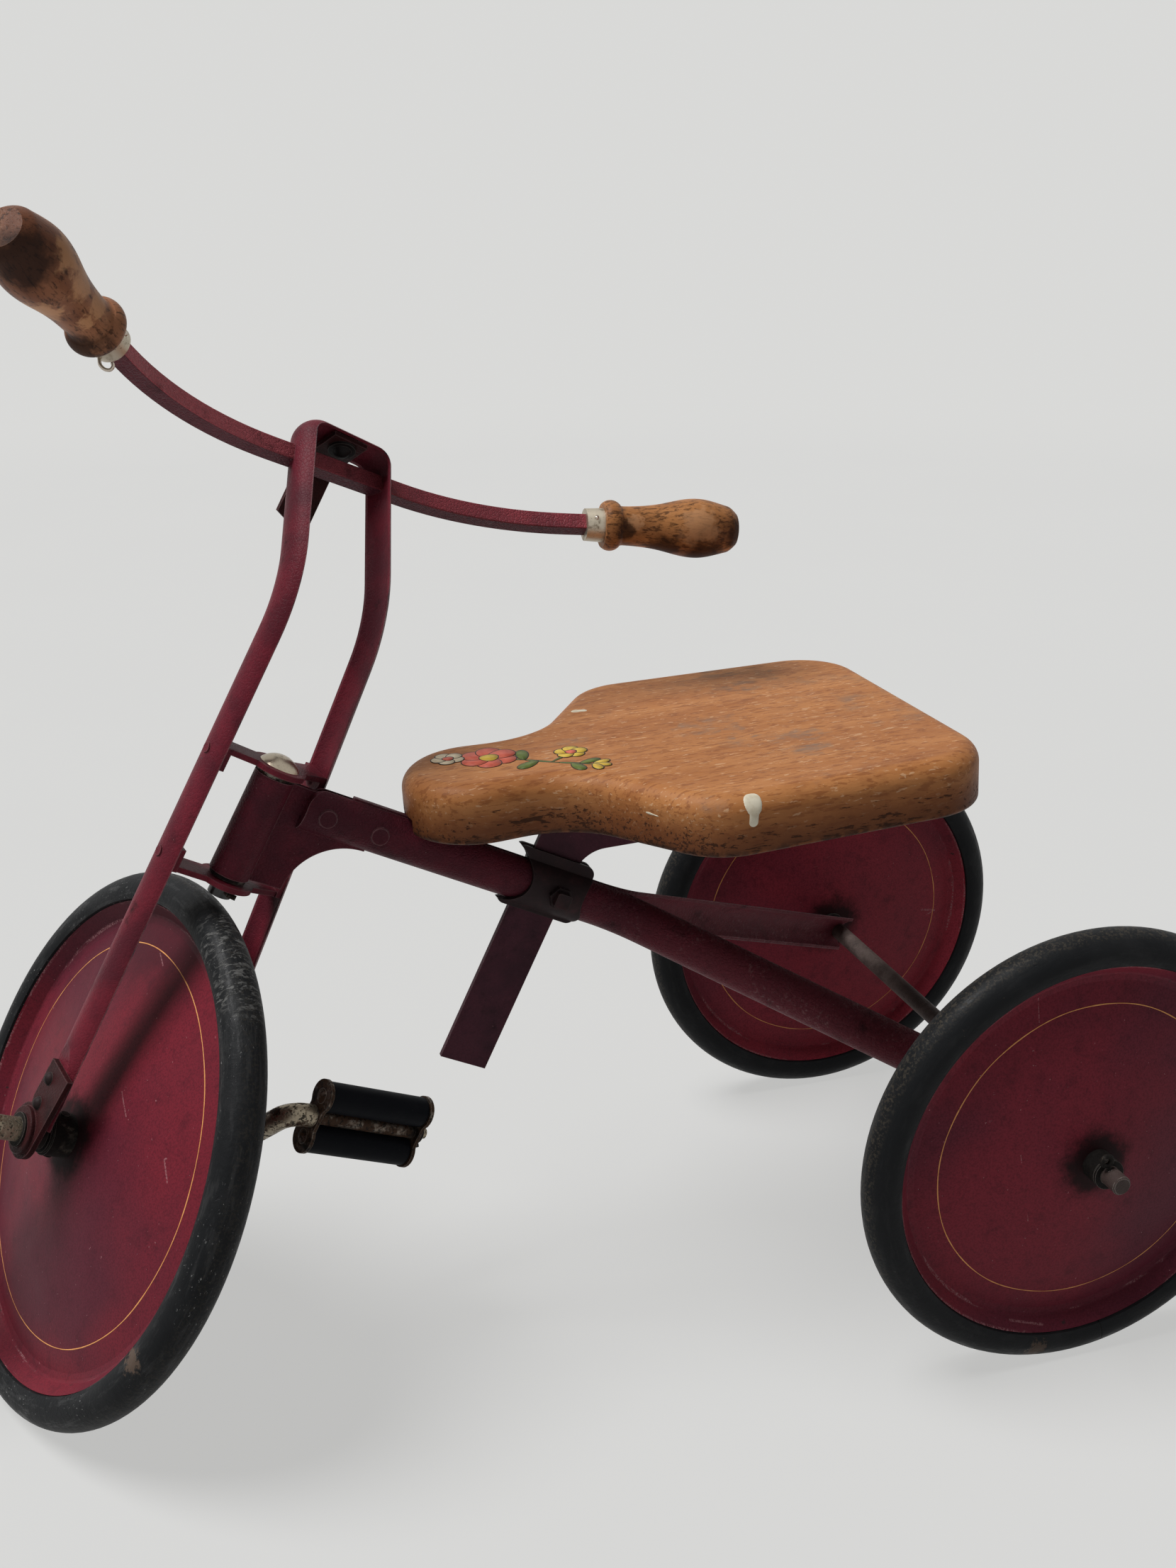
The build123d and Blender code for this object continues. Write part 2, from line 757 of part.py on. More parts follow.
def steering_pin():
    """Pin with a domed head, and its washer and split pin below the lower crown."""
    top = upper_crown_z + crown_sheet
    bottom = lower_crown_z - pin_tail
    dome = Pos(0, 0, top) * Rot(90, 0, 0) * dome_y(pin_dome_radius, pin_dome_height, 0, 1)
    washer = rod_z(pin_washer_radius, lower_crown_z - washer_thick, lower_crown_z)
    washer -= rod_z(pin_radius, bottom, top)
    keeper_z = lower_crown_z - washer_thick - split_pin_radius
    flat_pin = Rot(0, 90, 0) * Rot(0, 0, 90) * split_pin(pin_radius + pin_keeper_reach)
    keeper = Pos(0, 0, keeper_z) * flat_pin
    return {
        "steering_pin": rod_z(pin_radius, bottom, top) + dome - keeper,
        "pin_keeper": Compound(children=[washer, keeper]),
    }


def bar_frame():
    """Frame of the handlebar: X to the left, Y back and up, Z up the fork's leaning head."""
    x, z = head_point(bar_along_head, bar_ahead)
    lean = radians(fork_lean)
    base = Plane(origin=(0, 0, 0), x_dir=(0, 1, 0), z_dir=(sin(lean), 0, cos(lean))).location
    return Pos(x, 0, z) * Rot(0, 0, bar_yaw) * Rot(bar_roll, 0, 0) * base


def bar_end():
    """Frame at the end of the bar's left bend: X runs out along the grip."""
    sweep_angle = radians(bar_sweep)
    x = bar_straight + bar_bend_radius * sin(sweep_angle)
    y = bar_bend_radius * (1 - cos(sweep_angle))
    return Pos(x, y, 0) * Rot(0, 0, bar_sweep)


def turned(profile):
    """A body of revolution about X from a closed list of edges in the XY plane."""
    return revolve(make_face(profile), Axis.X)


def grip_body(start):
    """A turned wooden grip: bead, neck, swelling palm and a flat end."""
    end = start + grip_length
    bead_side = bead_radius - bead_drop
    bead_end = (start + bead_length, bead_side)
    bead = [
        Line((start, 0), (start, bead_side)),
        ThreePointArc((start, bead_side), (start + bead_length / 2, bead_radius), bead_end),
    ]
    back = Spline(
        bead_end,
        (start + neck_at, neck_radius),
        (start + waist_at, waist_radius),
        (start + palm_at, palm_radius),
        (end - heel_length, heel_radius),
        (end, grip_end_radius),
        tangents=((bead_run_off, -1), (heel_run_off, -1)),
    )
    close = [Line((end, grip_end_radius), (end, 0)), Line((end, 0), (start, 0))]
    return turned(bead + [back] + close)


def handlebar_parts():
    """Square bar, nickel ferrules, wooden grips and their pins."""
    tangent = bar_bend_radius * tan(radians(bar_sweep / 2))
    corner = bar_straight + tangent
    reach = tangent + ferrule_from_bend + ferrule_length + bar_in_grip
    tip_x = corner + reach * cos(radians(bar_sweep))
    tip_y = reach * sin(radians(bar_sweep))
    path = FilletPolyline(
        (-tip_x, tip_y, 0),
        (-corner, 0, 0),
        (corner, 0, 0),
        (tip_x, tip_y, 0),
        radius=bar_bend_radius,
    )
    start = Plane(origin=path @ 0, x_dir=(0, 0, 1), z_dir=path % 0)
    bar = sweep(start * RectangleRounded(bar_side, bar_side, bar_edge), path)
    ferrule_end = ferrule_from_bend + ferrule_length
    ferrule_outline = Polyline(
        (ferrule_from_bend, 0),
        (ferrule_from_bend, ferrule_radius - ferrule_taper),
        (ferrule_end, ferrule_radius),
        (ferrule_end, 0),
        close=True,
    )
    ferrule = bar_end() * turned([ferrule_outline])
    grip = bar_end() * grip_body(ferrule_end)
    pin_x = ferrule_from_bend + ferrule_length / 2
    pin_half = ferrule_radius + grip_pin_proud
    pin = bar_end() * Pos(pin_x, 0, 0) * rod_y(grip_pin_radius, -pin_half, pin_half)
    loop_at = Pos(pin_x, -pin_half - wire_loop_radius, 0) * Rot(0, 90, 0)
    loop = bar_end() * loop_at * Torus(wire_loop_radius, wire_radius)
    left = {"ferrule": ferrule, "grip": grip, "pin": pin + loop}
    right = {"ferrule": ferrule, "grip": grip, "pin": pin}
    right = {name: mirror(shape, Plane.YZ) for name, shape in right.items()}
    place = bar_frame()
    shapes = {}
    for name, pieces in (("left", left), ("right", right)):
        shapes["ferrule_" + name] = place * (pieces["ferrule"] - bar - pieces["pin"])
        shapes["grip_" + name] = place * (pieces["grip"] - bar)
    shapes["handlebar"] = place * (bar - left["pin"] - right["pin"])
    shapes["grip_pins"] = place * Compound(children=[left["pin"], right["pin"]])
    return shapes


def bracket_parts():
    """Bent strip under the bridge of the fork, its bolt with a washer, and the hole for it."""
    x, z = head_point(fork_head - bracket_gap)
    at = Pos(x, 0, z) * Rot(0, fork_lean, 0)
    tab_length = bracket_tab + bracket_ahead
    tab = Pos(bracket_ahead - tab_length / 2, 0, -bracket_sheet / 2)
    tab *= Box(tab_length, bracket_width, bracket_sheet)
    corner_x, corner_z = head_point(fork_head - bracket_gap - bracket_sheet, bracket_ahead)
    half = bracket_width / 2
    high = corner_z + bracket_sheet
    low = corner_z - bracket_drop
    shoulder = low + bracket_point
    outline = [(half, high), (half, shoulder), (0, low), (-half, shoulder), (-half, high)]
    drop = extrude(Plane.YZ * make_face(Polyline(*outline, close=True)), bracket_sheet)
    washer_low = -bracket_sheet - washer_thick
    bolt = rod_z(bridge_bolt_radius, washer_low, fork_depth)
    head = Pos(0, 0, washer_low) * Rot(90, 0, 0) * dome_y(bolt_head_radius, bolt_head, 0, -1)
    washer = rod_z(bolt_washer_radius, washer_low, -bracket_sheet)
    hole = at * rod_z(bridge_bolt_radius, -bracket_drop, bracket_drop)
    shapes = {
        "front_bracket": at * tab + Pos(corner_x, 0, 0) * drop - hole,
        "bracket_bolt": at * (bolt + head + washer),
    }
    return shapes, hole


def fork_lugs():
    """Plates with eyes for the front axle, their bushes and domed rivets, and the holes they need."""
    outline = [
        (lug_plate_front, lug_rivet_z[1]),
        (lug_plate_front - lug_plate_slant, lug_plate_top),
        (-lug_plate_back, lug_plate_top),
        (-lug_eye_radius, 0),
        (0, -lug_plate_slant),
    ]
    plate_face = make_face(Polyline(*outline, close=True)) + Circle(lug_eye_radius)
    plate = Pos(0, tongue_face, 0) * extrude(Plane.XZ * plate_face, -lug_plate)
    boss = rod_y(lug_boss_radius, lug_plate_face, lug_boss_face)
    boss = fillet(boss.edges().sort_by(Axis.Y)[-1:], lug_boss_round)
    bush_start = front_hub_half + washer_thick + 2 * face_gap
    bush_end = lug_boss_face + bush_proud
    bush = ring_y(crank_rod_radius + running_gap, axle_bush_radius, bush_start, bush_end)
    holes = [rod_y(axle_bush_radius, -bush_end, bush_end)]
    rivets = []
    shank_radius = lug_rivet_radius - lug_rivet_shoulder
    for z in lug_rivet_z:
        at = Pos(fork_foot_x + lug_rivet_ahead, 0, z)
        shank = rod_y(shank_radius, fork_lip(z), lug_plate_face)
        rivet = at * (shank + dome_y(lug_rivet_radius, lug_rivet_rise, lug_plate_face, 1))
        rivets += [rivet, mirror(rivet, Plane.XZ)]
        holes.append(at * rod_y(shank_radius, -bush_end, bush_end))
    lug = plate + boss
    for hole in holes:
        lug -= hole
    shapes = {
        "fork_lug_left": lug,
        "fork_lug_right": mirror(lug, Plane.XZ),
        "axle_bush_left": bush,
        "axle_bush_right": mirror(bush, Plane.XZ),
        "lug_rivets": Compound(children=rivets),
    }
    return shapes, holes


def fork_parts():
    """Everything that turns with the steering pin except the wheel and pedals."""
    shapes = {
        "upper_crown": crown(upper_crown_z, -1),
        "lower_crown": crown(lower_crown_z, 1),
    }
    strip = fork_shell()
    rivets = crown_rivets()
    for rivet in rivets:
        strip -= rivet
        for name in ("upper_crown", "lower_crown"):
            shapes[name] -= rivet
    shapes["crown_rivets"] = Compound(children=rivets)
    shapes.update(steering_pin())
    bar = handlebar_parts()
    strip -= bar["handlebar"]
    shapes.update(bar)
    bracket, hole = bracket_parts()
    strip -= hole
    shapes.update(bracket)
    lugs, holes = fork_lugs()
    for hole in holes:
        strip -= hole
    shapes.update(lugs)
    shapes["fork_strip"] = strip
    return {name: fork_at * shape for name, shape in shapes.items()}


# Front wheel, cranks and pedals


def front_wheel_parts():
    """Tyre, discs, hub and the bent crank axle that turns with them."""
    left = wheel_disc(front_wheel_radius, front_hub_radius, front_dish)
    hub = ring_y(crank_rod_radius, front_hub_radius, -front_hub_half, front_hub_half)
    key_half = front_hub_radius + hub_pin_proud
    key = Pos(0, front_hub_half - hub_pin_inset, 0) * rod_z(hub_pin_radius, -key_half, key_half)
    inner = pedal_inner_y - face_gap
    path = FilletPolyline(
        (-crank_x, inner, -crank_z),
        (-crank_x, crank_arm_y, -crank_z),
        (0, crank_arm_y, 0),
        (0, -crank_arm_y, 0),
        (crank_x, -crank_arm_y, crank_z),
        (crank_x, -inner, crank_z),
        radius=crank_bend_radius,
    )
    start = Plane(origin=path @ 0, z_dir=path % 0)
    rod = sweep(start * Circle(crank_rod_radius), path)
    washer_start = pedal_outer_y + face_gap
    pin_y = washer_start + washer_thick + split_pin_radius
    spindle = rod_y(spindle_radius, inner - spindle_radius, pin_y + spindle_radius)
    washer = ring_y(spindle_radius, spindle_washer_radius, washer_start, washer_start + washer_thick)
    pin = Pos(0, pin_y, 0) * split_pin(spindle_radius + spindle_pin_reach)
    left_place = Pos(-crank_x, 0, -crank_z)
    right_place = Pos(crank_x, 0, crank_z)
    keepers = [left_place * washer, left_place * pin]
    keepers += [right_place * mirror(washer, Plane.XZ), right_place * mirror(pin, Plane.XZ)]
    rod += left_place * spindle
    rod += right_place * mirror(spindle, Plane.XZ)
    for piece in keepers + [key]:
        rod -= piece
    spacer = ring_y(crank_rod_radius, crank_spacer_radius, front_hub_half, front_hub_half + washer_thick)
    shapes = {
        "front_tyre": tyre(front_wheel_radius),
        "front_left_disc": left,
        "front_right_disc": mirror(left, Plane.XZ),
        "front_hub": hub - key,
        "hub_pin": key,
        "crank_axle": rod,
        "crank_spacers": Compound(children=[spacer, mirror(spacer, Plane.XZ)]),
        "pedal_keepers": Compound(children=keepers),
    }
    return {name: fork_at * shape for name, shape in shapes.items()}


def pedal_plate_face():
    """Dog-bone outline of a pedal's end plate with the holes for its rods and spindle."""
    centre = block_spacing / 2
    face = Rectangle(pedal_waist, block_spacing)
    for y in (centre, -centre):
        face += Pos(0, y) * Circle(block_radius + pedal_plate_rim)
    inside = [v for v in face.vertices() if abs(v.Y) < centre]
    face = fillet(inside, pedal_waist_round)
    for y in (centre, -centre):
        face -= Pos(0, y) * Circle(pedal_rod_radius)
    return face - Circle(spindle_radius + running_gap)


def pedal_parts(side):
    """One pedal on its crank: two dog-bone plates, rubber blocks, tie rods and spindle tube."""
    upright = Plane(origin=(0, 0, 0), x_dir=(1, 0, 0), z_dir=(0, 1, 0))
    plate = extrude(upright * pedal_plate_face(), pedal_plate)
    start = pedal_inner_y + pedal_plate
    end = pedal_outer_y - pedal_plate
    block = rod_y(block_radius, start, end)
    block = fillet(block.edges().filter_by(GeomType.CIRCLE), block_round)
    block -= rod_y(pedal_rod_radius, start, end)
    rod = rod_y(pedal_rod_radius, pedal_inner_y, pedal_outer_y)
    rod += dome_y(rod_head_radius, rod_head_rise, pedal_outer_y, 1)
    rod += dome_y(rod_head_radius, rod_head_rise, pedal_inner_y, -1)
    tube = ring_y(spindle_radius + running_gap, pedal_tube_radius, start, end)
    places = [Pos(0, 0, block_spacing / 2), Pos(0, 0, -block_spacing / 2)]
    name = "left_pedal_" if side > 0 else "right_pedal_"
    shapes = {
        name + "inner_plate": Pos(0, pedal_inner_y, 0) * plate,
        name + "outer_plate": Pos(0, end, 0) * plate,
        name + "blocks": Compound(children=[place * block for place in places]),
        name + "rods": Compound(children=[place * rod for place in places] + [tube]),
    }
    if side < 0:
        shapes = {key: mirror(shape, Plane.XZ) for key, shape in shapes.items()}
    at = fork_at * Pos(-side * crank_x, 0, -side * crank_z) * Rot(0, pedal_tilt, 0)
    return {key: at * shape for key, shape in shapes.items()}


def main():
    """Builds every piece, moves the origin under the middle of the whole and writes the files."""
    os.makedirs("parts", exist_ok=True)
    pieces = {}
    pieces.update(frame_parts())
    pieces.update(seat_clamp())
    pieces.update(rear_axle())
    pieces.update(rear_wheel(1))
    pieces.update(rear_wheel(-1))
    pieces.update(seat_parts())
    pieces.update(fork_parts())
    pieces.update(front_wheel_parts())
    pieces.update(pedal_parts(1))
    pieces.update(pedal_parts(-1))
    boxes = [shape.bounding_box() for shape in pieces.values()]
    middle = (min(box.min.X for box in boxes) + max(box.max.X for box in boxes)) / 2
    for name, shape in pieces.items():
        export_step(Pos(-middle, 0, 0) * shape, "parts/" + name + ".step")
    print("pieces", len(pieces), "origin ahead of the rear axle", round(middle, 3))


main()
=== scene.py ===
"""Children's tricycle in old burgundy enamel: finishes, painted lines, floor, light and camera."""

import json
import logging
import math
from dataclasses import dataclass
from enum import Enum
from functools import reduce

import bpy
import numpy as np
from mathutils import Matrix, Vector
from mathutils.bvhtree import BVHTree


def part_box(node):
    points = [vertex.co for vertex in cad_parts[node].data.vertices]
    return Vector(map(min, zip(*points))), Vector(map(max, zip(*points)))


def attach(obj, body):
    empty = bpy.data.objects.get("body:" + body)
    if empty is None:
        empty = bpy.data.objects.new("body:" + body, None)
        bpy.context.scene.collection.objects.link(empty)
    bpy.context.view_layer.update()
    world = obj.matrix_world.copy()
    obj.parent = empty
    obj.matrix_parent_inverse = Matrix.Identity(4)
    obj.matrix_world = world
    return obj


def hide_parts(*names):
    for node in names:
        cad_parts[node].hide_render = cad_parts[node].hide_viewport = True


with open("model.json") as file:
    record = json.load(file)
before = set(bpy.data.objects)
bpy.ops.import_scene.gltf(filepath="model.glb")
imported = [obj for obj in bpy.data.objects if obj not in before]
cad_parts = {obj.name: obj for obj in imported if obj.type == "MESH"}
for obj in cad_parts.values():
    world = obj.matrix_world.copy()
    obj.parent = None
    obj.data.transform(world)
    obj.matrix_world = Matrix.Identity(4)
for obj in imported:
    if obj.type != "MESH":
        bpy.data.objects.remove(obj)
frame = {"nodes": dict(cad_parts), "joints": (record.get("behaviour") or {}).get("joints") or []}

LOG = logging.getLogger("tricycle")
MM_PER_M = 1000

Colour = tuple[float, float, float]
Point = tuple[float, float, float]
Socket = bpy.types.NodeSocket
Value = float | Point | Socket


class Side(Enum):
    """The two sides of the tricycle, as the sign of Y."""

    LEFT = 1
    RIGHT = -1

    @property
    def word(self) -> str:
        """The side's word in node names."""
        return self.name.lower()


@dataclass(frozen=True)
class Axle:
    """A turning line: a point on it and its direction, in metres."""

    centre: Point
    axis: Point

    def basis(self) -> tuple[Vector, Vector, Vector]:
        """Two directions across the line and the line's own.

        Returns:
            Three unit vectors, the last along the axis.
        """
        along = Vector(self.axis).normalized()
        helper = Vector((0, 0, 1)) if abs(along.z) < 0.9 else Vector((1, 0, 0))
        across = helper.cross(along).normalized()
        return across, along.cross(across), along

    def point(self, radius: float, angle: float, along: float) -> Vector:
        """A point given round the line.

        Args:
            radius: Distance from the line.
            angle: Turn round the line in radians.
            along: Distance along the line from its centre.

        Returns:
            The point in the row frame.
        """
        across, up, axis = self.basis()
        spoke = across * math.cos(angle) + up * math.sin(angle)
        return Vector(self.centre) + spoke * radius + axis * along


class NodeSheet:
    """One material's node tree, with a short call for each node that the finishes use."""

    def __init__(self, name: str) -> None:
        """Starts a material with one Principled shader.

        Args:
            name: The material's name.
        """
        self.material = bpy.data.materials.new(name)
        self.material.use_nodes = True
        self.tree = self.material.node_tree
        self.tree.nodes.clear()
        self.shader = self.node("ShaderNodeBsdfPrincipled")
        self.output = self.node("ShaderNodeOutputMaterial")
        self.tree.links.new(self.shader.outputs["BSDF"], self.output.inputs["Surface"])
        here = self.node("ShaderNodeTexCoord")
        self.place, self.facing = here.outputs["Object"], here.outputs["Normal"]

    def node(self, kind: str, **settings: str | int | bool) -> bpy.types.Node:
        """Adds a node.

        Args:
            kind: Blender's name of the node type.
            settings: Attributes to set on it.

        Returns:
            The new node.
        """
        made = self.tree.nodes.new(kind)
        for key, value in settings.items():
            setattr(made, key, value)
        return made

    def put(self, socket: Socket, value: Value) -> None:
        """Feeds an input from another node's output or with a constant.

        Args:
            socket: The input.
            value: An output to link, a number, or three numbers.
        """
        if isinstance(value, bpy.types.NodeSocket):
            self.tree.links.new(value, socket)
        elif isinstance(value, tuple) and socket.type == "RGBA":
            socket.default_value = (*value, 1.0)
        else:
            socket.default_value = value

    def math(self, operation: str, first: Value, second: Value = 0.0, third: Value = 0.0) -> Socket:
        """Adds a Math node.

        Args:
            operation: Blender's name of the operation.
            first: First input.
            second: Second input, where there is one.
            third: Third input, where there is one.

        Returns:
            The node's output.
        """
        made = self.node("ShaderNodeMath", operation=operation)
        for socket, value in zip(made.inputs, (first, second, third)):
            self.put(socket, value)
        return made.outputs[0]

    def vector(self, operation: str, first: Value, second: Value = (0.0, 0.0, 0.0)) -> Socket:
        """Adds a Vector Math node.

        Args:
            operation: Blender's name of the operation.
            first: First vector.
            second: Second vector.

        Returns:
            The number for a dot product or length, otherwise the vector.
        """
        made = self.node("ShaderNodeVectorMath", operation=operation)
        self.put(made.inputs[0], first)
        self.put(made.inputs[1], second)
        return made.outputs["Value" if operation in ("DOT_PRODUCT", "LENGTH", "DISTANCE") else "Vector"]

    def along(self, line: Axle) -> Socket:
        """The place measured from a line: two ways across it and one along it.

        Args:
            line: The line and its centre.

        Returns:
            A vector output.
        """
        arm = self.vector("SUBTRACT", self.place, line.centre)
        made = self.node("ShaderNodeCombineXYZ")
        for socket, direction in zip(made.inputs, line.basis()):
            self.put(socket, self.vector("DOT_PRODUCT", arm, tuple(direction)))
        return made.outputs[0]

    def radius(self, local: Socket) -> Socket:
        """The distance in metres from the line that a place was measured from by along."""
        return self.vector("LENGTH", self.vector("MULTIPLY", local, (1.0, 1.0, 0.0)))

    def wrapped(self, local: Socket, reach: float) -> Socket:
        """The place unrolled from a wheel: way round, distance from the axle, way along it.

        Args:
            local: The output of along.
            reach: The radius at which the way round is true to size.

        Returns:
            A vector output in metres.
        """
        turn = self.math("ARCTAN2", self.part(local, "Y"), self.part(local, "X"))
        made = self.node("ShaderNodeCombineXYZ")
        self.put(made.inputs[0], self.math("MULTIPLY", turn, reach))
        self.put(made.inputs[1], self.radius(local))
        self.put(made.inputs[2], self.part(local, "Z"))
        return made.outputs[0]

    def part(self, vector: Socket, letter: str) -> Socket:
        """One part of a vector.

        Args:
            vector: The vector.
            letter: X, Y or Z.

        Returns:
            A number output.
        """
        made = self.node("ShaderNodeSeparateXYZ")
        self.put(made.inputs[0], vector)
        return made.outputs[letter]

    def noise(self, scale: float, detail: float, rough: float = 0.5, at: Value | None = None,
              stretch: Point = (1.0, 1.0, 1.0), swirl: float = 0.0) -> Socket:
        """Adds a noise pattern.

        Args:
            scale: Cells to the metre.
            detail: Octaves.
            rough: How strong the finer octaves are.
            at: Where it is read, the place in the row frame if not given.
            stretch: Factors on the place before it is read.
            swirl: Distortion.

        Returns:
            A number output from 0 to 1.
        """
        made = self.node("ShaderNodeTexNoise")
        spot = self.place if at is None else at
        if stretch != (1.0, 1.0, 1.0):
            spot = self.vector("MULTIPLY", spot, stretch)
        self.put(made.inputs["Vector"], spot)
        for key, value in (("Scale", scale), ("Detail", detail), ("Roughness", rough), ("Distortion", swirl)):
            made.inputs[key].default_value = value
        return made.outputs[0]

    def cracks(self, scale: float) -> Socket:
        """Adds a pattern of cracks between cells.

        Args:
            scale: Cells to the metre.

        Returns:
            A number output, the distance to the nearest crack.
        """
        made = self.node("ShaderNodeTexVoronoi", feature="DISTANCE_TO_EDGE")
        self.put(made.inputs["Vector"], self.place)
        made.inputs["Scale"].default_value = scale
        return made.outputs["Distance"]

    def step(self, value: Value, low: float, high: float) -> Socket:
        """A smooth step from 0 at low to 1 at high, or down where high is the smaller.

        Args:
            value: The number to judge.
            low: Where the step is 0.
            high: Where the step is 1.

        Returns:
            A number output.
        """
        made = self.node("ShaderNodeMapRange", interpolation_type="SMOOTHSTEP")
        self.put(made.inputs["Value"], value)
        start, end = (low, high) if low < high else (high, low)
        made.inputs["From Min"].default_value = start
        made.inputs["From Max"].default_value = end
        made.inputs["To Min"].default_value = 0.0 if low < high else 1.0
        made.inputs["To Max"].default_value = 1.0 if low < high else 0.0
        return made.outputs["Result"]

    def joined(self, operation: str, masks: tuple[Socket | float, ...]) -> Socket:
        """Masks put together by one operation, from the first to the last."""
        return reduce(lambda first, second: self.math(operation, first, second), masks)

    def both(self, *masks: Socket | float) -> Socket:
        """Masks multiplied together."""
        return self.joined("MULTIPLY", masks)

    def either(self, *masks: Socket | float) -> Socket:
        """The largest of some masks."""
        return self.joined("MAXIMUM", masks)

    def mix(self, amount: Value, under: Value, over: Value) -> Socket:
        """Lays one colour over another.

        Args:
            amount: How much of the upper colour shows.
            under: The lower colour.
            over: The upper colour.

        Returns:
            A colour output.
        """
        made = self.node("ShaderNodeMix", data_type="RGBA")
        self.put(made.inputs[0], amount)
        self.put(made.inputs[6], under)
        self.put(made.inputs[7], over)
        return made.outputs[2]

    def lay(self, under: Value, over: Value, much: float, *masks: Socket | float) -> Socket:
        """Lays so much of a paint over a colour where all of some masks are on."""
        return self.mix(self.both(*masks, much), under, over)

    def blend(self, amount: Value, under: Value, over: Value) -> Socket:
        """Goes from one number to another.

        Args:
            amount: How far, from 0 to 1.
            under: The number at 0.
            over: The number at 1.

        Returns:
            A number output.
        """
        made = self.node("ShaderNodeMix", data_type="FLOAT")
        self.put(made.inputs[0], amount)
        self.put(made.inputs[2], under)
        self.put(made.inputs[3], over)
        return made.outputs[0]

    def edges(self, radius: float) -> Socket:
        """How near the surface is to an edge.

        Args:
            radius: The width that counts as near, in metres.

        Returns:
            A number output, 0 on an even face and up to about 0.3 on an edge.
        """
        rounded = self.node("ShaderNodeBevel", samples=4)
        rounded.inputs["Radius"].default_value = radius
        true = self.node("ShaderNodeNewGeometry").outputs["Normal"]
        return self.math("SUBTRACT", 1.0, self.vector("DOT_PRODUCT", rounded.outputs["Normal"], true))

    def rubbed_edge(self, width: float, scale: float, rough: float) -> Socket:
        """Where an edge is rubbed bright, with a ragged border.

        Args:
            width: The width that counts as near the edge, in metres.
            scale: Cells of the ragged border to the metre.
            rough: How strong its finer octaves are.

        Returns:
            A number output from 0 to 1.
        """
        ragged = self.noise(scale, 4.0, rough)
        edge = self.math("MULTIPLY", self.edges(width), 1.8)
        return self.step(self.math("MULTIPLY_ADD", ragged, 0.5, edge), 0.54, 0.72)

    def near(self, place: Point, reach: float, ragged: float = 0.0) -> Socket:
        """A soft round patch.

        Args:
            place: Its middle.
            reach: Its radius in metres.
            ragged: How much a noise eats into its border.

        Returns:
            A number output, 1 in the middle and 0 outside.
        """
        away = self.vector("DISTANCE", self.place, place)
        if ragged:
            wave = self.math("SUBTRACT", self.noise(2.4 / reach, 4.0, 0.6), 0.5)
            away = self.math("MULTIPLY_ADD", wave, ragged * reach * 2.0, away)
        return self.step(away, reach, reach * 0.45)

    def stroke(self, start: Point, end: Point, width: float) -> Socket:
        """A thin straight mark between two places.

        Args:
            start: One end in the row frame.
            end: The other end.
            width: Its full width.

        Returns:
            A value output, 1 along the mark.
        """
        way = Vector(end) - Vector(start)
        arm = self.vector("SUBTRACT", self.place, start)
        share = self.math("MULTIPLY", self.vector("DOT_PRODUCT", arm, tuple(way)), 1.0 / way.length_squared)
        held = self.math("MINIMUM", self.math("MAXIMUM", share, 0.0), 1.0)
        made = self.node("ShaderNodeVectorMath", operation="SCALE")
        self.put(made.inputs[0], tuple(way))
        self.put(made.inputs["Scale"], held)
        gap = self.vector("LENGTH", self.vector("SUBTRACT", arm, made.outputs[0]))
        return self.step(gap, width * 0.6, width * 0.3)

    def bump(self, height: Socket, strength: float, depth: float, under: Socket | None = None) -> Socket:
        """Turns a height into a bumped normal.

        Args:
            height: The height, from 0 to 1.
            strength: How strong it is.
            depth: The height of 1 in metres.
            under: A normal to add to.

        Returns:
            A normal output.
        """
        made = self.node("ShaderNodeBump")
        made.inputs["Strength"].default_value = strength
        made.inputs["Distance"].default_value = depth
        self.put(made.inputs["Height"], height)
        if under is not None:
            self.put(made.inputs["Normal"], under)
        return made.outputs[0]

    def finish(self, **sockets: Value) -> bpy.types.Material:
        """Feeds the shader and gives the material.

        Args:
            sockets: The shader's inputs, with _ for each space in a name.

        Returns:
            The finished material.
        """
        for name, value in sockets.items():
            self.put(self.shader.inputs[name.replace("_", " ")], value)
        return self.material


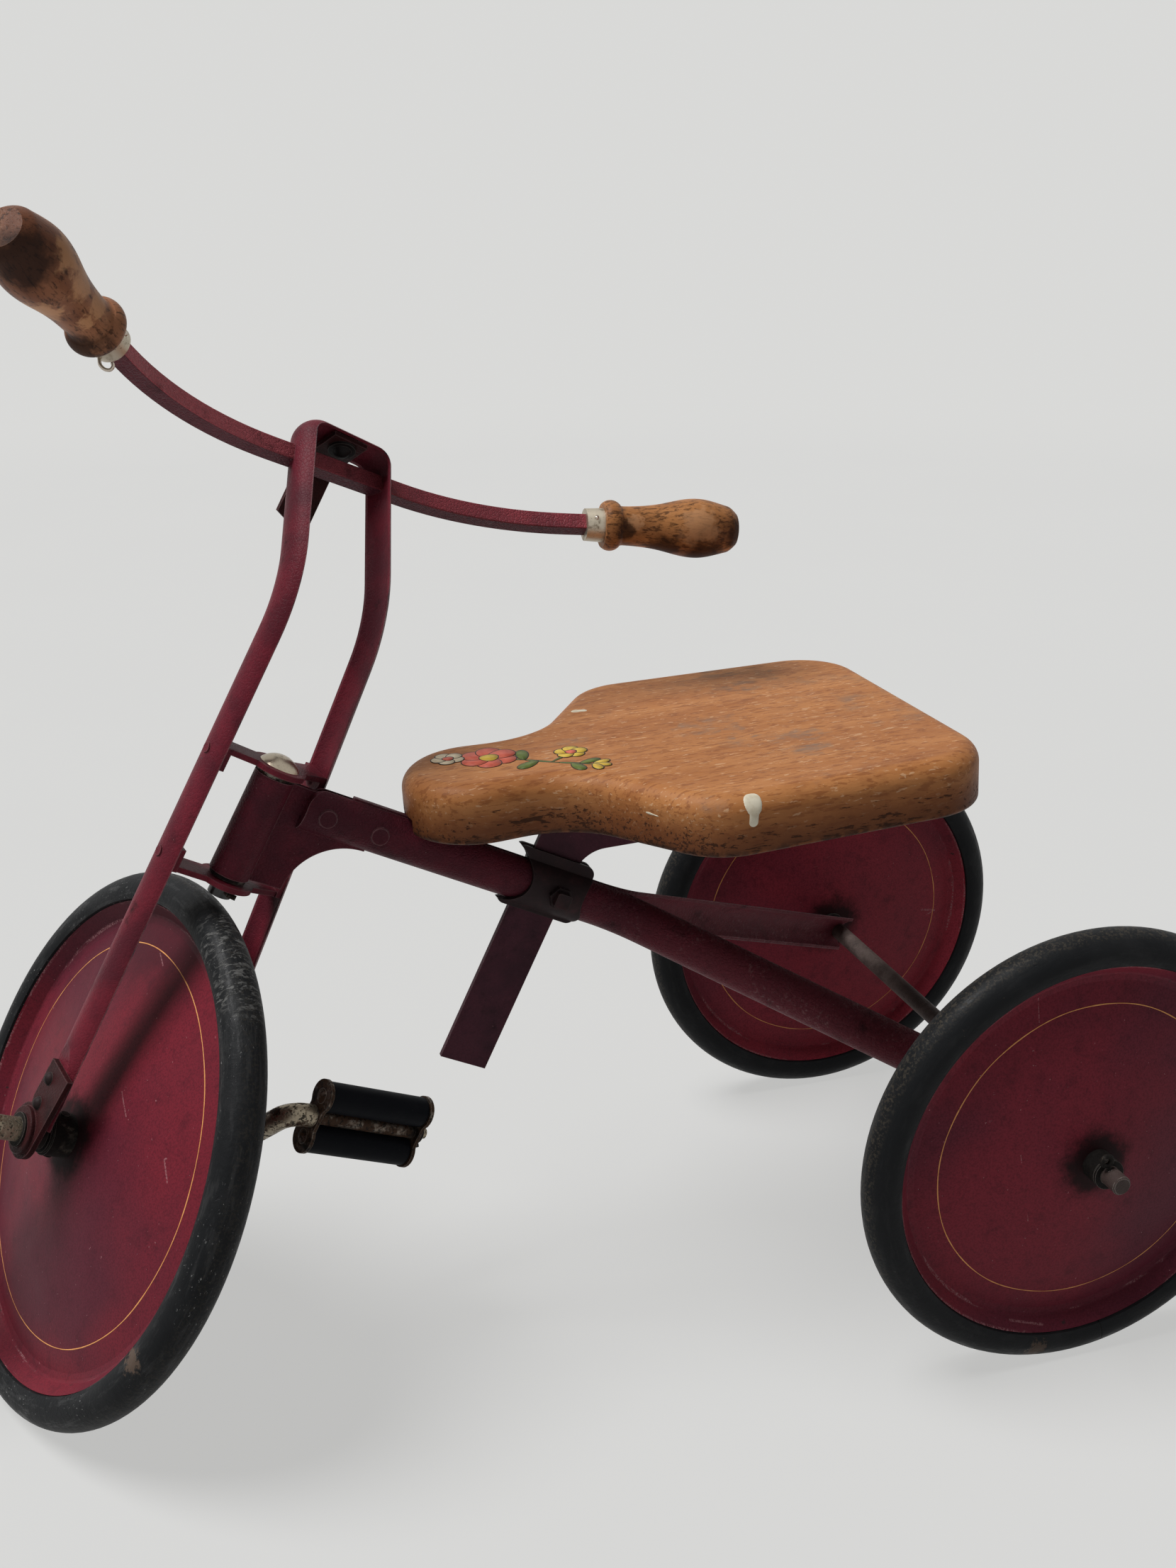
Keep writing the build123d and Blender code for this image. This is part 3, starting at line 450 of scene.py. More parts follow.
@dataclass(frozen=True)
class DiscEnamel:
    """Stoved enamel on a pressed wheel disc: grainy, greasy round the hub, chipped along the rim, with
    painted shadow patches where given.
    """

    name: str
    axle: Axle
    rim: float
    hub: float
    coat: Colour
    drift: Colour
    marks: tuple[tuple[Point, Point, float], ...]
    painted_shadows: tuple[tuple[Point, float], ...] = ()
    deep: Colour = (0.048, 0.009, 0.015)
    grease: Colour = (0.006, 0.005, 0.005)
    chip: Colour = (0.40, 0.20, 0.21)
    bare: Colour = (0.030, 0.022, 0.022)
    flange: float = 0.0062

    def material(self) -> bpy.types.Material:
        """Builds the enamel for this disc.

        Returns:
            The finished material.
        """
        s = NodeSheet(self.name)
        local = s.along(self.axle)
        radius = s.radius(local)
        turned = s.wrapped(local, self.rim)
        colour = s.mix(s.step(s.noise(9.0, 3.0, 0.5), 0.36, 0.66), self.coat, self.drift)
        grain = s.step(s.noise(950.0, 3.0, 0.7), 0.40, 0.66)
        colour = s.lay(colour, self.deep, 0.45, grain)
        blots = s.step(s.noise(95.0, 5.0, 0.68), 0.50, 0.72)
        colour = s.lay(colour, self.deep, 0.40, blots)
        # Painted shadow: soft patches of the deep colour where given.
        for place, reach in self.painted_shadows:
            colour = s.lay(colour, self.deep, 0.75, s.near(place, reach, 0.4))
        specks = s.step(s.noise(560.0, 2.0, 0.5), 0.735, 0.775)
        colour = s.lay(colour, self.chip, 0.55, specks)
        patch = s.step(s.noise(17.0, 2.0), 0.54, 0.64)
        lines = s.noise(60.0, 2.0, 0.5, at=local, stretch=(1.0, 22.0, 22.0), swirl=0.2)
        scratch = s.both(s.step(lines, 0.74, 0.765), patch)
        colour = s.lay(colour, self.chip, 0.42, scratch)
        for start, end, width in self.marks:
            mark = s.both(s.stroke(start, end, width), s.step(s.noise(900.0, 3.0, 0.7), 0.38, 0.56))
            colour = s.lay(colour, self.chip, 0.5, mark)
        rubbed = s.noise(40.0, 4.0, 0.65, at=turned, stretch=(0.5, 4.0, 4.0))
        valley = self.rim - self.flange
        for ring, width, much in ((valley, 0.0011, 0.54), (self.rim, 0.0012, 0.50)):
            close = s.step(s.math("ABSOLUTE", s.math("SUBTRACT", radius, ring)), width, width * 0.35)
            colour = s.lay(colour, self.chip, 0.75, close, s.step(rubbed, much, much + 0.07), grain)
        outside = s.step(radius, valley - 0.002, valley + 0.001)
        sores = s.both(outside, s.step(s.noise(210.0, 4.0, 0.6), 0.68, 0.71))
        colour = s.lay(colour, self.bare, 0.85, sores)
        away = s.math("MULTIPLY_ADD", s.noise(110.0, 5.0, 0.7), 0.020, radius)
        halo = s.step(away, self.hub + 0.026, self.hub + 0.013)
        colour = s.lay(colour, self.grease, 0.93, halo)
        rough = s.blend(halo, s.blend(s.noise(60.0, 4.0), 0.36, 0.50), 0.62)
        peel = s.bump(s.noise(620.0, 3.0), 0.16, 0.0003)
        dents = s.bump(s.noise(34.0, 2.0), 0.14, 0.0014, peel)
        return s.finish(Base_Color=colour, Roughness=rough, Specular_IOR_Level=0.07,
                        Normal=s.bump(scratch, -0.15, 0.0002, dents))


@dataclass(frozen=True)
class FrameEnamel:
    """Brushed enamel on the frame and fork: dirty, rubbed through on edges, crazed in places; where set,
    lighter along X, with painted shade on downward faces and pale flakes that are partly painted sheen.
    """

    name: str
    coat: Colour
    drift: Colour = (0.060, 0.012, 0.019)
    dirt: Colour = (0.011, 0.008, 0.008)
    rubbed: Colour = (0.30, 0.15, 0.15)
    bare: Colour = (0.036, 0.037, 0.042)
    dirty: float = 0.45
    crazed: float = 0.25
    chipped: float = 0.74
    gloss: float = 0.08
    lightened: Colour | None = None
    lighten_from: float = 0.0
    lighten_to: float = 0.0
    under: Colour | None = None
    pale_flakes_and_sheen: float = 0.0

    def material(self) -> bpy.types.Material:
        """Builds the enamel.

        Returns:
            The finished material.
        """
        s = NodeSheet(self.name)
        colour = s.mix(s.step(s.noise(30.0, 4.0, 0.6), 0.38, 0.66), self.coat, self.drift)
        # Lighter along X where set; on the bar this is a painted highlight on its near part.
        if self.lightened is not None:
            colour = s.lay(colour, self.lightened, 0.7, self.lightened_share(s))
        # Painted shade: faces that look downward take the under colour.
        if self.under is not None:
            colour = s.lay(colour, self.under, 0.88, s.step(s.part(s.facing, "Z"), -0.35, -0.6))
        grain = s.step(s.noise(700.0, 3.0, 0.7), 0.42, 0.68)
        colour = s.lay(colour, self.drift, 0.40, grain)
        # Pale flakes on crazed paint, partly painted sheen, in the lightened part.
        if self.pale_flakes_and_sheen:
            flakes = s.step(s.noise(360.0, 5.0, 0.72), 0.53, 0.66)
            patches = s.step(s.noise(42.0, 3.0), 0.40, 0.60)
            colour = s.lay(colour, self.rubbed, self.pale_flakes_and_sheen, flakes, patches, self.lightened_share(s))
        grime = s.step(s.noise(64.0, 5.0, 0.68), 0.64 - 0.25 * self.dirty, 0.80)
        colour = s.lay(colour, self.dirt, 0.85, grime)
        edge = s.edges(0.0011)
        ragged = s.noise(170.0, 4.0, 0.7)
        rub = s.step(s.math("MULTIPLY_ADD", ragged, 0.55, s.math("MULTIPLY", edge, 2.0)), 0.52, 0.66)
        colour = s.lay(colour, self.rubbed, 0.50, rub)
        sores = s.math("MULTIPLY_ADD", edge, 0.42, s.noise(110.0, 5.0, 0.64))
        chips = s.step(sores, self.chipped, self.chipped + 0.015)
        colour = s.mix(chips, colour, self.bare)
        specks = s.step(s.noise(800.0, 2.0, 0.6), 0.735, 0.775)
        colour = s.lay(colour, self.rubbed, 0.5, specks)
        rough = s.blend(grime, s.blend(s.noise(80.0, 4.0), 0.36, 0.52), 0.66)
        cracks = s.step(s.cracks(520.0), 0.0, 0.16)
        peel = s.bump(s.noise(420.0, 4.0, 0.65), 0.28, 0.0005)
        crazing = s.bump(cracks, self.crazed, 0.0004, peel)
        return s.finish(Base_Color=colour, Roughness=rough, Specular_IOR_Level=self.gloss,
                        Normal=s.bump(chips, -0.35, 0.0003, crazing))

    def lightened_share(self, s: NodeSheet) -> Socket:
        """How far into the lightened part a place lies, from 0 at lighten_from to 1 at lighten_to along X."""
        return s.step(s.part(s.place, "X"), self.lighten_from, self.lighten_to)


@dataclass(frozen=True)
class BlackSteel:
    """Blackened sheet steel with brown grime and grey rubs."""

    name: str
    coat: Colour = (0.026, 0.016, 0.017)
    brown: Colour = (0.062, 0.026, 0.028)
    rubbed: Colour = (0.085, 0.075, 0.068)

    def material(self) -> bpy.types.Material:
        """Builds the blackened steel.

        Returns:
            The finished material.
        """
        s = NodeSheet(self.name)
        colour = s.mix(s.step(s.noise(75.0, 5.0, 0.65), 0.45, 0.75), self.coat, self.brown)
        colour = s.lay(colour, self.rubbed, 0.6, s.rubbed_edge(0.0009, 210.0, 0.7))
        rough = s.blend(s.noise(120.0, 4.0), 0.42, 0.68)
        return s.finish(Base_Color=colour, Roughness=rough, Specular_IOR_Level=0.10,
                        Normal=s.bump(s.noise(420.0, 4.0), 0.26, 0.0004))


@dataclass(frozen=True)
class PittedSteel:
    """Plain steel gone brown: dull bright where it rubs, pitted and rusty elsewhere."""

    name: str
    rusty: float
    oily: float
    bright: Colour = (0.36, 0.315, 0.235)
    rust: Colour = (0.060, 0.033, 0.020)
    black: Colour = (0.007, 0.006, 0.0055)
    rim: Colour = (0.30, 0.275, 0.245)

    def material(self) -> bpy.types.Material:
        """Builds the steel.

        Returns:
            The finished material.
        """
        s = NodeSheet(self.name)
        rust = s.step(s.noise(150.0, 6.0, 0.68), 0.66 - 0.36 * self.rusty, 0.74 - 0.28 * self.rusty)
        pits = s.step(s.noise(520.0, 4.0, 0.65), 0.52, 0.60)
        stain = s.step(s.noise(52.0, 4.0, 0.6), 0.74 - 0.40 * self.oily, 0.84 - 0.36 * self.oily)
        colour = s.mix(rust, self.bright, self.rust)
        colour = s.lay(colour, self.black, 0.8, pits)
        colour = s.lay(colour, self.black, 0.94, stain)
        colour = s.lay(colour, self.rim, 0.65, s.rubbed_edge(0.0007, 330.0, 0.65))
        covered = s.either(rust, s.both(pits, 0.9), stain)
        metal = s.math("SUBTRACT", 1.0, covered)
        rough = s.blend(covered, 0.38, s.blend(s.noise(200.0, 3.0), 0.55, 0.80))
        height = s.math("MULTIPLY_ADD", pits, -0.7, s.noise(380.0, 4.0, 0.6))
        return s.finish(Base_Color=colour, Metallic=metal, Roughness=rough, Specular_IOR_Level=0.10,
                        Normal=s.bump(height, 0.38, 0.0004))


@dataclass(frozen=True)
class Nickel:
    """Old nickel plate, warm and spotted with tarnish."""

    name: str
    plate: Colour = (0.52, 0.46, 0.365)
    tarnish: Colour = (0.13, 0.095, 0.060)
    spotted: float = 0.5
    dull: float = 0.0
    plated_above: float | None = None
    black: Colour = (0.012, 0.010, 0.009)

    def material(self) -> bpy.types.Material:
        """Builds the plate.

        Returns:
            The finished material.
        """
        s = NodeSheet(self.name)
        cloud = s.step(s.noise(160.0, 5.0, 0.65), 0.64 - 0.2 * self.spotted, 0.84 - 0.2 * self.spotted)
        spots = s.step(s.noise(760.0, 3.0, 0.6), 0.62, 0.70)
        colour = s.lay(self.plate, self.tarnish, 0.85, s.either(cloud, spots))
        clean = s.blend(s.noise(240.0, 3.0), 0.22 + self.dull, 0.36 + self.dull)
        rough = s.blend(cloud, clean, 0.5 + self.dull)
        if self.plated_above is None:
            metal: Value = 1.0
        else:
            metal = s.step(s.part(s.place, "Z"), self.plated_above - 0.002, self.plated_above)
            colour = s.mix(metal, self.black, colour)
        return s.finish(Base_Color=colour, Metallic=metal, Roughness=rough,
                        Normal=s.bump(s.noise(600.0, 3.0), 0.10, 0.0002))


@dataclass(frozen=True)
class TyreRubber:
    """Solid rubber tyre: black walls, a dusty tread, painted streaky highlights and glints, a joint and
    gouges.
    """

    name: str
    axle: Axle
    outer: float
    gouges: tuple[Point, ...]
    streak_highlight: float
    joint: Point | None = None
    scuffs: tuple[Point, ...] = ()
    dusty: float = 0.6
    glint_amount: float = 0.0
    wall: Colour = (0.0066, 0.0072, 0.0082)
    grey: Colour = (0.040, 0.040, 0.041)
    dust: Colour = (0.060, 0.050, 0.038)
    pale: Colour = (0.150, 0.148, 0.142)
    glint: Colour = (0.24, 0.24, 0.235)
    torn: Colour = (0.100, 0.068, 0.050)
    black: Colour = (0.002, 0.002, 0.002)

    def material(self) -> bpy.types.Material:
        """Builds the rubber for this tyre.

        Returns:
            The finished material.
        """
        s = NodeSheet(self.name)
        local = s.along(self.axle)
        radius = s.radius(local)
        turned = s.wrapped(local, self.outer)
        cloud = s.step(s.noise(34.0, 4.0, 0.6), 0.48, 0.80)
        colour = s.lay(self.wall, self.grey, 0.25, cloud)
        # Painted highlight: grey streaks round the tyre stand in for sheen on the rubber.
        streaks = s.noise(190.0, 5.0, 0.70, at=turned, stretch=(0.22, 1.0, 1.6))
        worn = s.step(streaks, 0.50, 0.66)
        colour = s.lay(colour, self.grey, self.streak_highlight, worn)
        tread = s.step(radius, self.outer - 0.0034, self.outer - 0.0006)
        dust = s.both(tread, s.step(s.noise(620.0, 4.0, 0.7), 0.48, 0.62))
        colour = s.lay(colour, self.dust, self.dusty, dust)
        flecks = s.step(s.noise(430.0, 3.0, 0.6), 0.70, 0.75)
        colour = s.lay(colour, self.dust, 0.45, flecks)
        # Painted glints: small bright specks over the tyre, in patches.
        if self.glint_amount:
            glints = s.step(s.noise(760.0, 4.0, 0.7, at=turned, stretch=(0.6, 1.0, 1.0)), 0.625, 0.68)
            patches = s.step(s.noise(38.0, 3.0), 0.42, 0.60)
            colour = s.lay(colour, self.glint, self.glint_amount, glints, patches)
        cuts = s.step(s.noise(260.0, 3.0, 0.6, at=turned, stretch=(0.35, 1.0, 1.0), swirl=0.6), 0.68, 0.72)
        height = s.math("MULTIPLY_ADD", cuts, -0.5, s.noise(300.0, 5.0, 0.62))
        wrinkles = s.noise(430.0, 5.0, 0.72, at=turned, stretch=(1.0, 0.42, 0.42), swirl=0.6)
        for place in self.scuffs:
            rub = s.both(s.near(place, 0.022, 0.7), s.step(wrinkles, 0.50, 0.60))
            colour = s.lay(colour, self.pale, 0.70, rub)
            height = s.math("MULTIPLY_ADD", rub, 0.5, height)
        for place in self.gouges:
            tear = s.near(place, 0.0070, 1.2)
            colour = s.lay(colour, self.torn, 0.9, tear)
            height = s.math("MULTIPLY_ADD", tear, -0.9, height)
        if self.joint is not None:
            arm = s.vector("SUBTRACT", s.place, self.joint)
            away = s.math("ABSOLUTE", s.vector("DOT_PRODUCT", arm, self.round_about(self.joint)))
            seam = s.both(s.near(self.joint, 0.034), s.step(away, 0.0006, 0.0001))
            colour = s.mix(seam, colour, self.black)
            height = s.math("MULTIPLY_ADD", seam, -2.0, height)
        rough = s.blend(worn, s.blend(s.noise(90.0, 4.0), 0.46, 0.60), s.blend(dust, 0.36, 0.75))
        return s.finish(Base_Color=colour, Roughness=rough, Specular_IOR_Level=0.11,
                        Normal=s.bump(height, 0.50, 0.0006))

    def round_about(self, place: Point) -> Point:
        """The direction round the wheel at a place."""
        arm = Vector(place) - Vector(self.axle.centre)
        return tuple(Vector(self.axle.axis).cross(arm).normalized())


@dataclass(frozen=True)
class PedalRubber:
    """Smooth black pedal rubber, dusty in the hollows."""

    name: str
    black: Colour = (0.0050, 0.0056, 0.0075)
    dusty: Colour = (0.011, 0.011, 0.0135)
    fleck: Colour = (0.10, 0.095, 0.085)

    def material(self) -> bpy.types.Material:
        """Builds the rubber.

        Returns:
            The finished material.
        """
        s = NodeSheet(self.name)
        colour = s.lay(self.black, self.dusty, 0.6, s.step(s.noise(110.0, 5.0, 0.65), 0.50, 0.78))
        flecks = s.step(s.noise(800.0, 2.0), 0.735, 0.775)
        colour = s.lay(colour, self.fleck, 0.5, flecks)
        rough = s.blend(s.noise(160.0, 4.0), 0.46, 0.62)
        return s.finish(Base_Color=colour, Roughness=rough, Specular_IOR_Level=0.05,
                        Normal=s.bump(s.noise(520.0, 4.0, 0.6), 0.16, 0.0003))


@dataclass(frozen=True)
class SeatWood:
    """Varnished beech seat: honey top, flecked grain, sides that darken towards the bottom edge, grey rubbed
    patches.
    """

    name: str
    top: float
    slope: float
    thick: float
    rubs: tuple[tuple[Point, float], ...]
    honey: Colour = (0.37, 0.142, 0.046)
    amber: Colour = (0.46, 0.195, 0.068)
    brown: Colour = (0.215, 0.068, 0.022)
    umber: Colour = (0.130, 0.042, 0.016)
    dark: Colour = (0.030, 0.013, 0.008)
    grey: Colour = (0.235, 0.165, 0.125)
    pale: Colour = (0.66, 0.42, 0.245)

    def material(self) -> bpy.types.Material:
        """Builds the varnished wood.

        Returns:
            The finished material.
        """
        s = NodeSheet(self.name)
        lift = s.part(s.place, "Z")
        down = s.math("SUBTRACT", self.top, s.math("MULTIPLY_ADD", s.part(s.place, "X"), self.slope, lift))
        figure = s.noise(11.0, 4.0, 0.55, stretch=(0.5, 5.0, 5.0), swirl=0.35)
        colour = s.mix(s.step(figure, 0.34, 0.66), self.honey, self.amber)
        bands = s.noise(16.0, 4.0, 0.55, stretch=(0.5, 3.0, 3.0), swirl=0.3)
        colour = s.lay(colour, self.brown, 0.45, s.step(bands, 0.54, 0.74))
        pores = s.noise(480.0, 3.0, 0.6, stretch=(0.24, 1.0, 1.0), swirl=0.25)
        colour = s.lay(colour, self.brown, 0.62, s.step(pores, 0.52, 0.62))
        rays = s.noise(520.0, 3.0, 0.6, stretch=(0.30, 1.0, 1.0), swirl=0.4)
        colour = s.lay(colour, self.pale, 0.55, s.step(rays, 0.60, 0.67))
        mottle = s.step(s.noise(75.0, 5.0, 0.7, stretch=(0.5, 1.0, 1.0)), 0.50, 0.70)
        colour = s.lay(colour, self.brown, 0.38, mottle)
        grey = s.both(s.step(s.noise(24.0, 5.0, 0.68), 0.56, 0.78), s.step(down, 0.010, 0.004))
        for place, reach in self.rubs:
            scrape = s.step(s.noise(120.0, 5.0, 0.72, stretch=(0.35, 1.0, 1.0)), 0.42, 0.64)
            grey = s.either(grey, s.both(s.near(place, reach, 1.6), scrape))
        colour = s.lay(colour, self.grey, 0.72, grey)
        # The sides darken towards the bottom edge.
        side = s.step(down, 0.009, self.thick * 0.62)
        colour = s.lay(colour, self.brown, 0.45, side)
        ragged = s.math("MULTIPLY_ADD", s.noise(70.0, 5.0, 0.65), 0.012, down)
        low = s.step(ragged, self.thick * 0.55, self.thick * 1.05)
        colour = s.lay(colour, self.umber, 0.86, low)
        flecks = s.noise(640.0, 4.0, 0.68, stretch=(0.16, 1.0, 0.9), swirl=0.3)
        patches = s.both(s.step(s.noise(40.0, 4.0, 0.65, stretch=(0.5, 1.0, 2.0)), 0.40, 0.68), 0.10)
        wear = s.math("MULTIPLY_ADD", low, 0.05, s.math("ADD", patches, 0.06))
        worn = s.math("ADD", flecks, s.both(side, wear))
        fleck = s.both(s.step(worn, 0.68, 0.73), s.step(down, 0.004, 0.010))
        colour = s.lay(colour, self.dark, 0.84, fleck)
        hem = s.step(down, self.thick * 0.80, self.thick * 0.96)
        colour = s.lay(colour, self.dark, 0.80, hem, s.step(s.noise(140.0, 4.0, 0.6), 0.36, 0.56))
        rough = s.blend(s.either(grey, fleck), s.blend(s.noise(45.0, 4.0), 0.40, 0.56), 0.76)
        height = s.math("MULTIPLY_ADD", fleck, -0.6, s.math("ADD", s.math("MULTIPLY", pores, 0.9), rays))
        fine = s.bump(height, 0.34, 0.0005)
        return s.finish(Base_Color=colour, Roughness=rough, Specular_IOR_Level=0.12,
                        Normal=s.bump(s.noise(30.0, 3.0), 0.12, 0.0014, fine))


@dataclass(frozen=True)
class GripWood:
    """Turned grip wood: a dense curly grain, dark hand wear, painted shade and highlight patches where given,
    and a waxy polish.
    """

    name: str
    line: Axle
    light: Colour
    mid: Colour
    dark: Colour
    worn: float
    stains_and_shade: tuple[tuple[Point, float], ...]
    rubs: tuple[tuple[Point, float], ...]
    curls: float
    tan: Colour = (0.55, 0.285, 0.140)

    def material(self) -> bpy.types.Material:
        """Builds the turned wood.

        Returns:
            The finished material.
        """
        s = NodeSheet(self.name)
        local = s.along(self.line)
        sweep = s.noise(30.0, 3.0, 0.55, at=local, stretch=(1.0, 1.0, 0.45), swirl=0.5)
        colour = s.mix(s.step(sweep, 0.36, 0.64), self.light, self.mid)
        curl = s.noise(460.0, 5.0, 0.68, at=local, stretch=(1.0, 1.0, 0.36), swirl=0.5)
        grain = s.step(curl, self.curls, self.curls + 0.13)
        colour = s.lay(colour, self.dark, 0.72, grain)
        pores = s.noise(900.0, 3.0, 0.6, at=local, stretch=(1.0, 1.0, 0.20))
        colour = s.lay(colour, self.dark, 0.45, s.step(pores, 0.58, 0.66))
        stain = s.step(s.noise(44.0, 4.0, 0.6), 0.72 - 0.2 * self.worn, 0.92 - 0.2 * self.worn)
        # Tan patches where given; on the left grip they are painted highlight along its side.
        for place, reach in self.rubs:
            colour = s.lay(colour, self.tan, 0.7, s.near(place, reach, 0.9))
        # Dark patches: hand stains, and on the right grip also painted shade along its underside.
        for place, reach in self.stains_and_shade:
            stain = s.either(stain, s.near(place, reach, 0.5))
        colour = s.lay(colour, self.dark, 0.85, stain)
        colour = s.lay(colour, self.tan, 0.55, s.step(s.edges(0.0012), 0.10, 0.30))
        rough = s.blend(stain, s.blend(s.noise(70.0, 3.0), 0.32, 0.46), 0.56)
        height = s.math("MULTIPLY_ADD", grain, -0.5, pores)
        return s.finish(Base_Color=colour, Roughness=rough, Specular_IOR_Level=0.08,
                        Normal=s.bump(height, 0.26, 0.0004))


@dataclass(frozen=True)
class HandPaint:
    """Thin paint laid by hand or transfer: a colour, a shade of it, and rubbed specks."""

    name: str
    colour: Colour
    shade: Colour
    rubbed: Colour
    worn: float
    rough: float = 0.45

    def material(self) -> bpy.types.Material:
        """Builds the paint.

        Returns:
            The finished material.
        """
        s = NodeSheet(self.name)
        colour = s.mix(s.step(s.noise(170.0, 4.0, 0.6), 0.40, 0.70), self.colour, self.shade)
        specks = s.step(s.noise(700.0, 4.0, 0.65), 0.72 - 0.20 * self.worn, 0.80 - 0.20 * self.worn)
        colour = s.lay(colour, self.rubbed, 0.9, specks)
        rough = s.blend(s.noise(260.0, 3.0), self.rough - 0.08, self.rough + 0.12)
        return s.finish(Base_Color=colour, Roughness=rough, Specular_IOR_Level=0.15,
                        Normal=s.bump(s.noise(800.0, 3.0), 0.10, 0.0002))


def paint_on(finish: bpy.types.Material, *names: str) -> None:
    """Gives CAD nodes a finish in place of their plain material.

    Args:
        finish: The material.
        names: Node names.
    """
    for name in names:
        node = frame["nodes"][name]
        for slot in node.material_slots:
            slot.link = "OBJECT"
            slot.material = finish
        if not node.material_slots:
            node.data.materials.append(finish)
        LOG.info("finish %s on %s", finish.name, name)


def skin_of(name: str) -> BVHTree:
    """The surface of a CAD node, for laying pieces on it.

    Args:
        name: The node's name.

    Returns:
        A tree of its faces in the row frame.
    """
    mesh = frame["nodes"][name].data
    spots = [v.co.copy() for v in mesh.vertices]
    return BVHTree.FromPolygons(spots, [tuple(p.vertices) for p in mesh.polygons])


def long_line(name: str, towards: Vector) -> Axle:
    """The long axis of a turned CAD node.

    Args:
        name: The node's name.
        towards: A point that the axis goes towards.

    Returns:
        The axis through the node's middle.
    """
    spots = np.array([tuple(v.co) for v in frame["nodes"][name].data.vertices])
    middle = (spots.min(axis=0) + spots.max(axis=0)) / 2
    _, _, ways = np.linalg.svd(spots - spots.mean(axis=0), full_matrices=False)
    axis = Vector(ways[0])
    if axis.dot(towards - Vector(middle)) < 0:
        axis.negate()
    return Axle(tuple(middle), tuple(axis))


def new_piece(name: str, spots: list[Vector], faces: list[tuple[int, ...]], body: str,
              finishes: list[bpy.types.Material], face_finish: list[int] | None = None) -> bpy.types.Object:
    """Makes a piece that rides on a body.

    Args:
        name: The piece's name.
        spots: Its points in the row frame.
        faces: Its faces as point numbers.
        body: The body it rides on.
        finishes: Its materials.
        face_finish: The material number of each face, if more than one.

    Returns:
        The new object.
    """
    mesh = bpy.data.meshes.new(name)
    mesh.from_pydata([tuple(p) for p in spots], [], faces)
    for finish in finishes:
        mesh.materials.append(finish)
    for number, face in enumerate(mesh.polygons):
        face.use_smooth = True
        face.material_index = face_finish[number] if face_finish else 0
    mesh.validate()
    mesh.update()
    piece = bpy.data.objects.new(name, mesh)
    bpy.context.scene.collection.objects.link(piece)
    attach(piece, body)
    LOG.info("piece %s on %s, %d faces", name, body, len(mesh.polygons))
    return piece


def tube(line: list[Vector], radius: float, first: int,
         around: int = 12) -> tuple[list[Vector], list[tuple[int, ...]]]:
    """A closed round bar along a line.

    Args:
        line: Points of its middle.
        radius: Its radius.
        first: The number of its first point in the piece.
        around: Points round it.

    Returns:
        Its points and faces.
    """
    spots: list[Vector] = []
    last = len(line) - 1
    out = (line[1] - line[0]).orthogonal()
    for number, place in enumerate(line):
        way = (line[min(number + 1, last)] - line[max(number - 1, 0)]).normalized()
        out = (out - way * out.dot(way)).normalized()
        over = way.cross(out)
        for n in range(around):
            turn = 2 * math.pi * n / around
            spots.append(place + radius * (math.cos(turn) * out + math.sin(turn) * over))
    faces: list[tuple[int, ...]] = []
    for row in range(last):
        here, there = first + row * around, first + (row + 1) * around
        for n in range(around):
            after = (n + 1) % around
            faces.append((here + n, here + after, there + after, there + n))
    end = first + last * around
    faces += [tuple(first + n for n in reversed(range(around))), tuple(end + n for n in range(around))]
    return spots, faces


@dataclass
class Pinstripe:
    """A thin painted ring on a wheel disc, a little uneven as if drawn by brush."""

    node: str
    body: str
    axle: Axle
    radius: float
    face: int
    seed: float
    width: float = 0.00072
    lift: float = 0.00007
    bury: float = 0.00012
    wander: float = 0.00022
    tremble: float = 0.00009
    mean: float = 0.86
    swell: float = 0.24
    flat: float = 0.7
    steps: int = 420
    start: float = 0.06

    def build(self, finish: bpy.types.Material) -> None:
        """Lays the ring on the disc.

        Args:
            finish: The line's paint.
        """
        skin = skin_of(self.node)
        outward = Vector(self.axle.axis).normalized() * self.face
        spots: list[Vector] = []
        for number in range(self.steps):
            turn = 2 * math.pi * number / self.steps
            middle = (self.radius + self.wander * math.sin(3 * turn + self.seed)
                      + self.tremble * math.sin(11 * turn + 2 * self.seed))
            swell = self.swell * math.sin(5 * turn + self.seed) * math.sin(17 * turn - self.seed)
            half = self.width / 2 * (self.mean + swell)
            for reach, height in ((middle - half, -self.bury), (middle - half * self.flat, self.lift),
                                  (middle + half * self.flat, self.lift), (middle + half, -self.bury)):
                start = self.axle.point(reach, turn, self.start * self.face)
                hit, _, _, _ = skin.ray_cast(start, -outward)
                spots.append(hit + outward * height)
        faces = []
        for number in range(self.steps):
            here, there = 4 * number, 4 * ((number + 1) % self.steps)
            for corner in range(4):
                after = (corner + 1) % 4
                quad = (here + corner, here + after, there + after, there + corner)
                faces.append(quad if self.face > 0 else quad[::-1])
        new_piece(f"{self.node}_pinstripe", spots, faces, self.body, [finish])


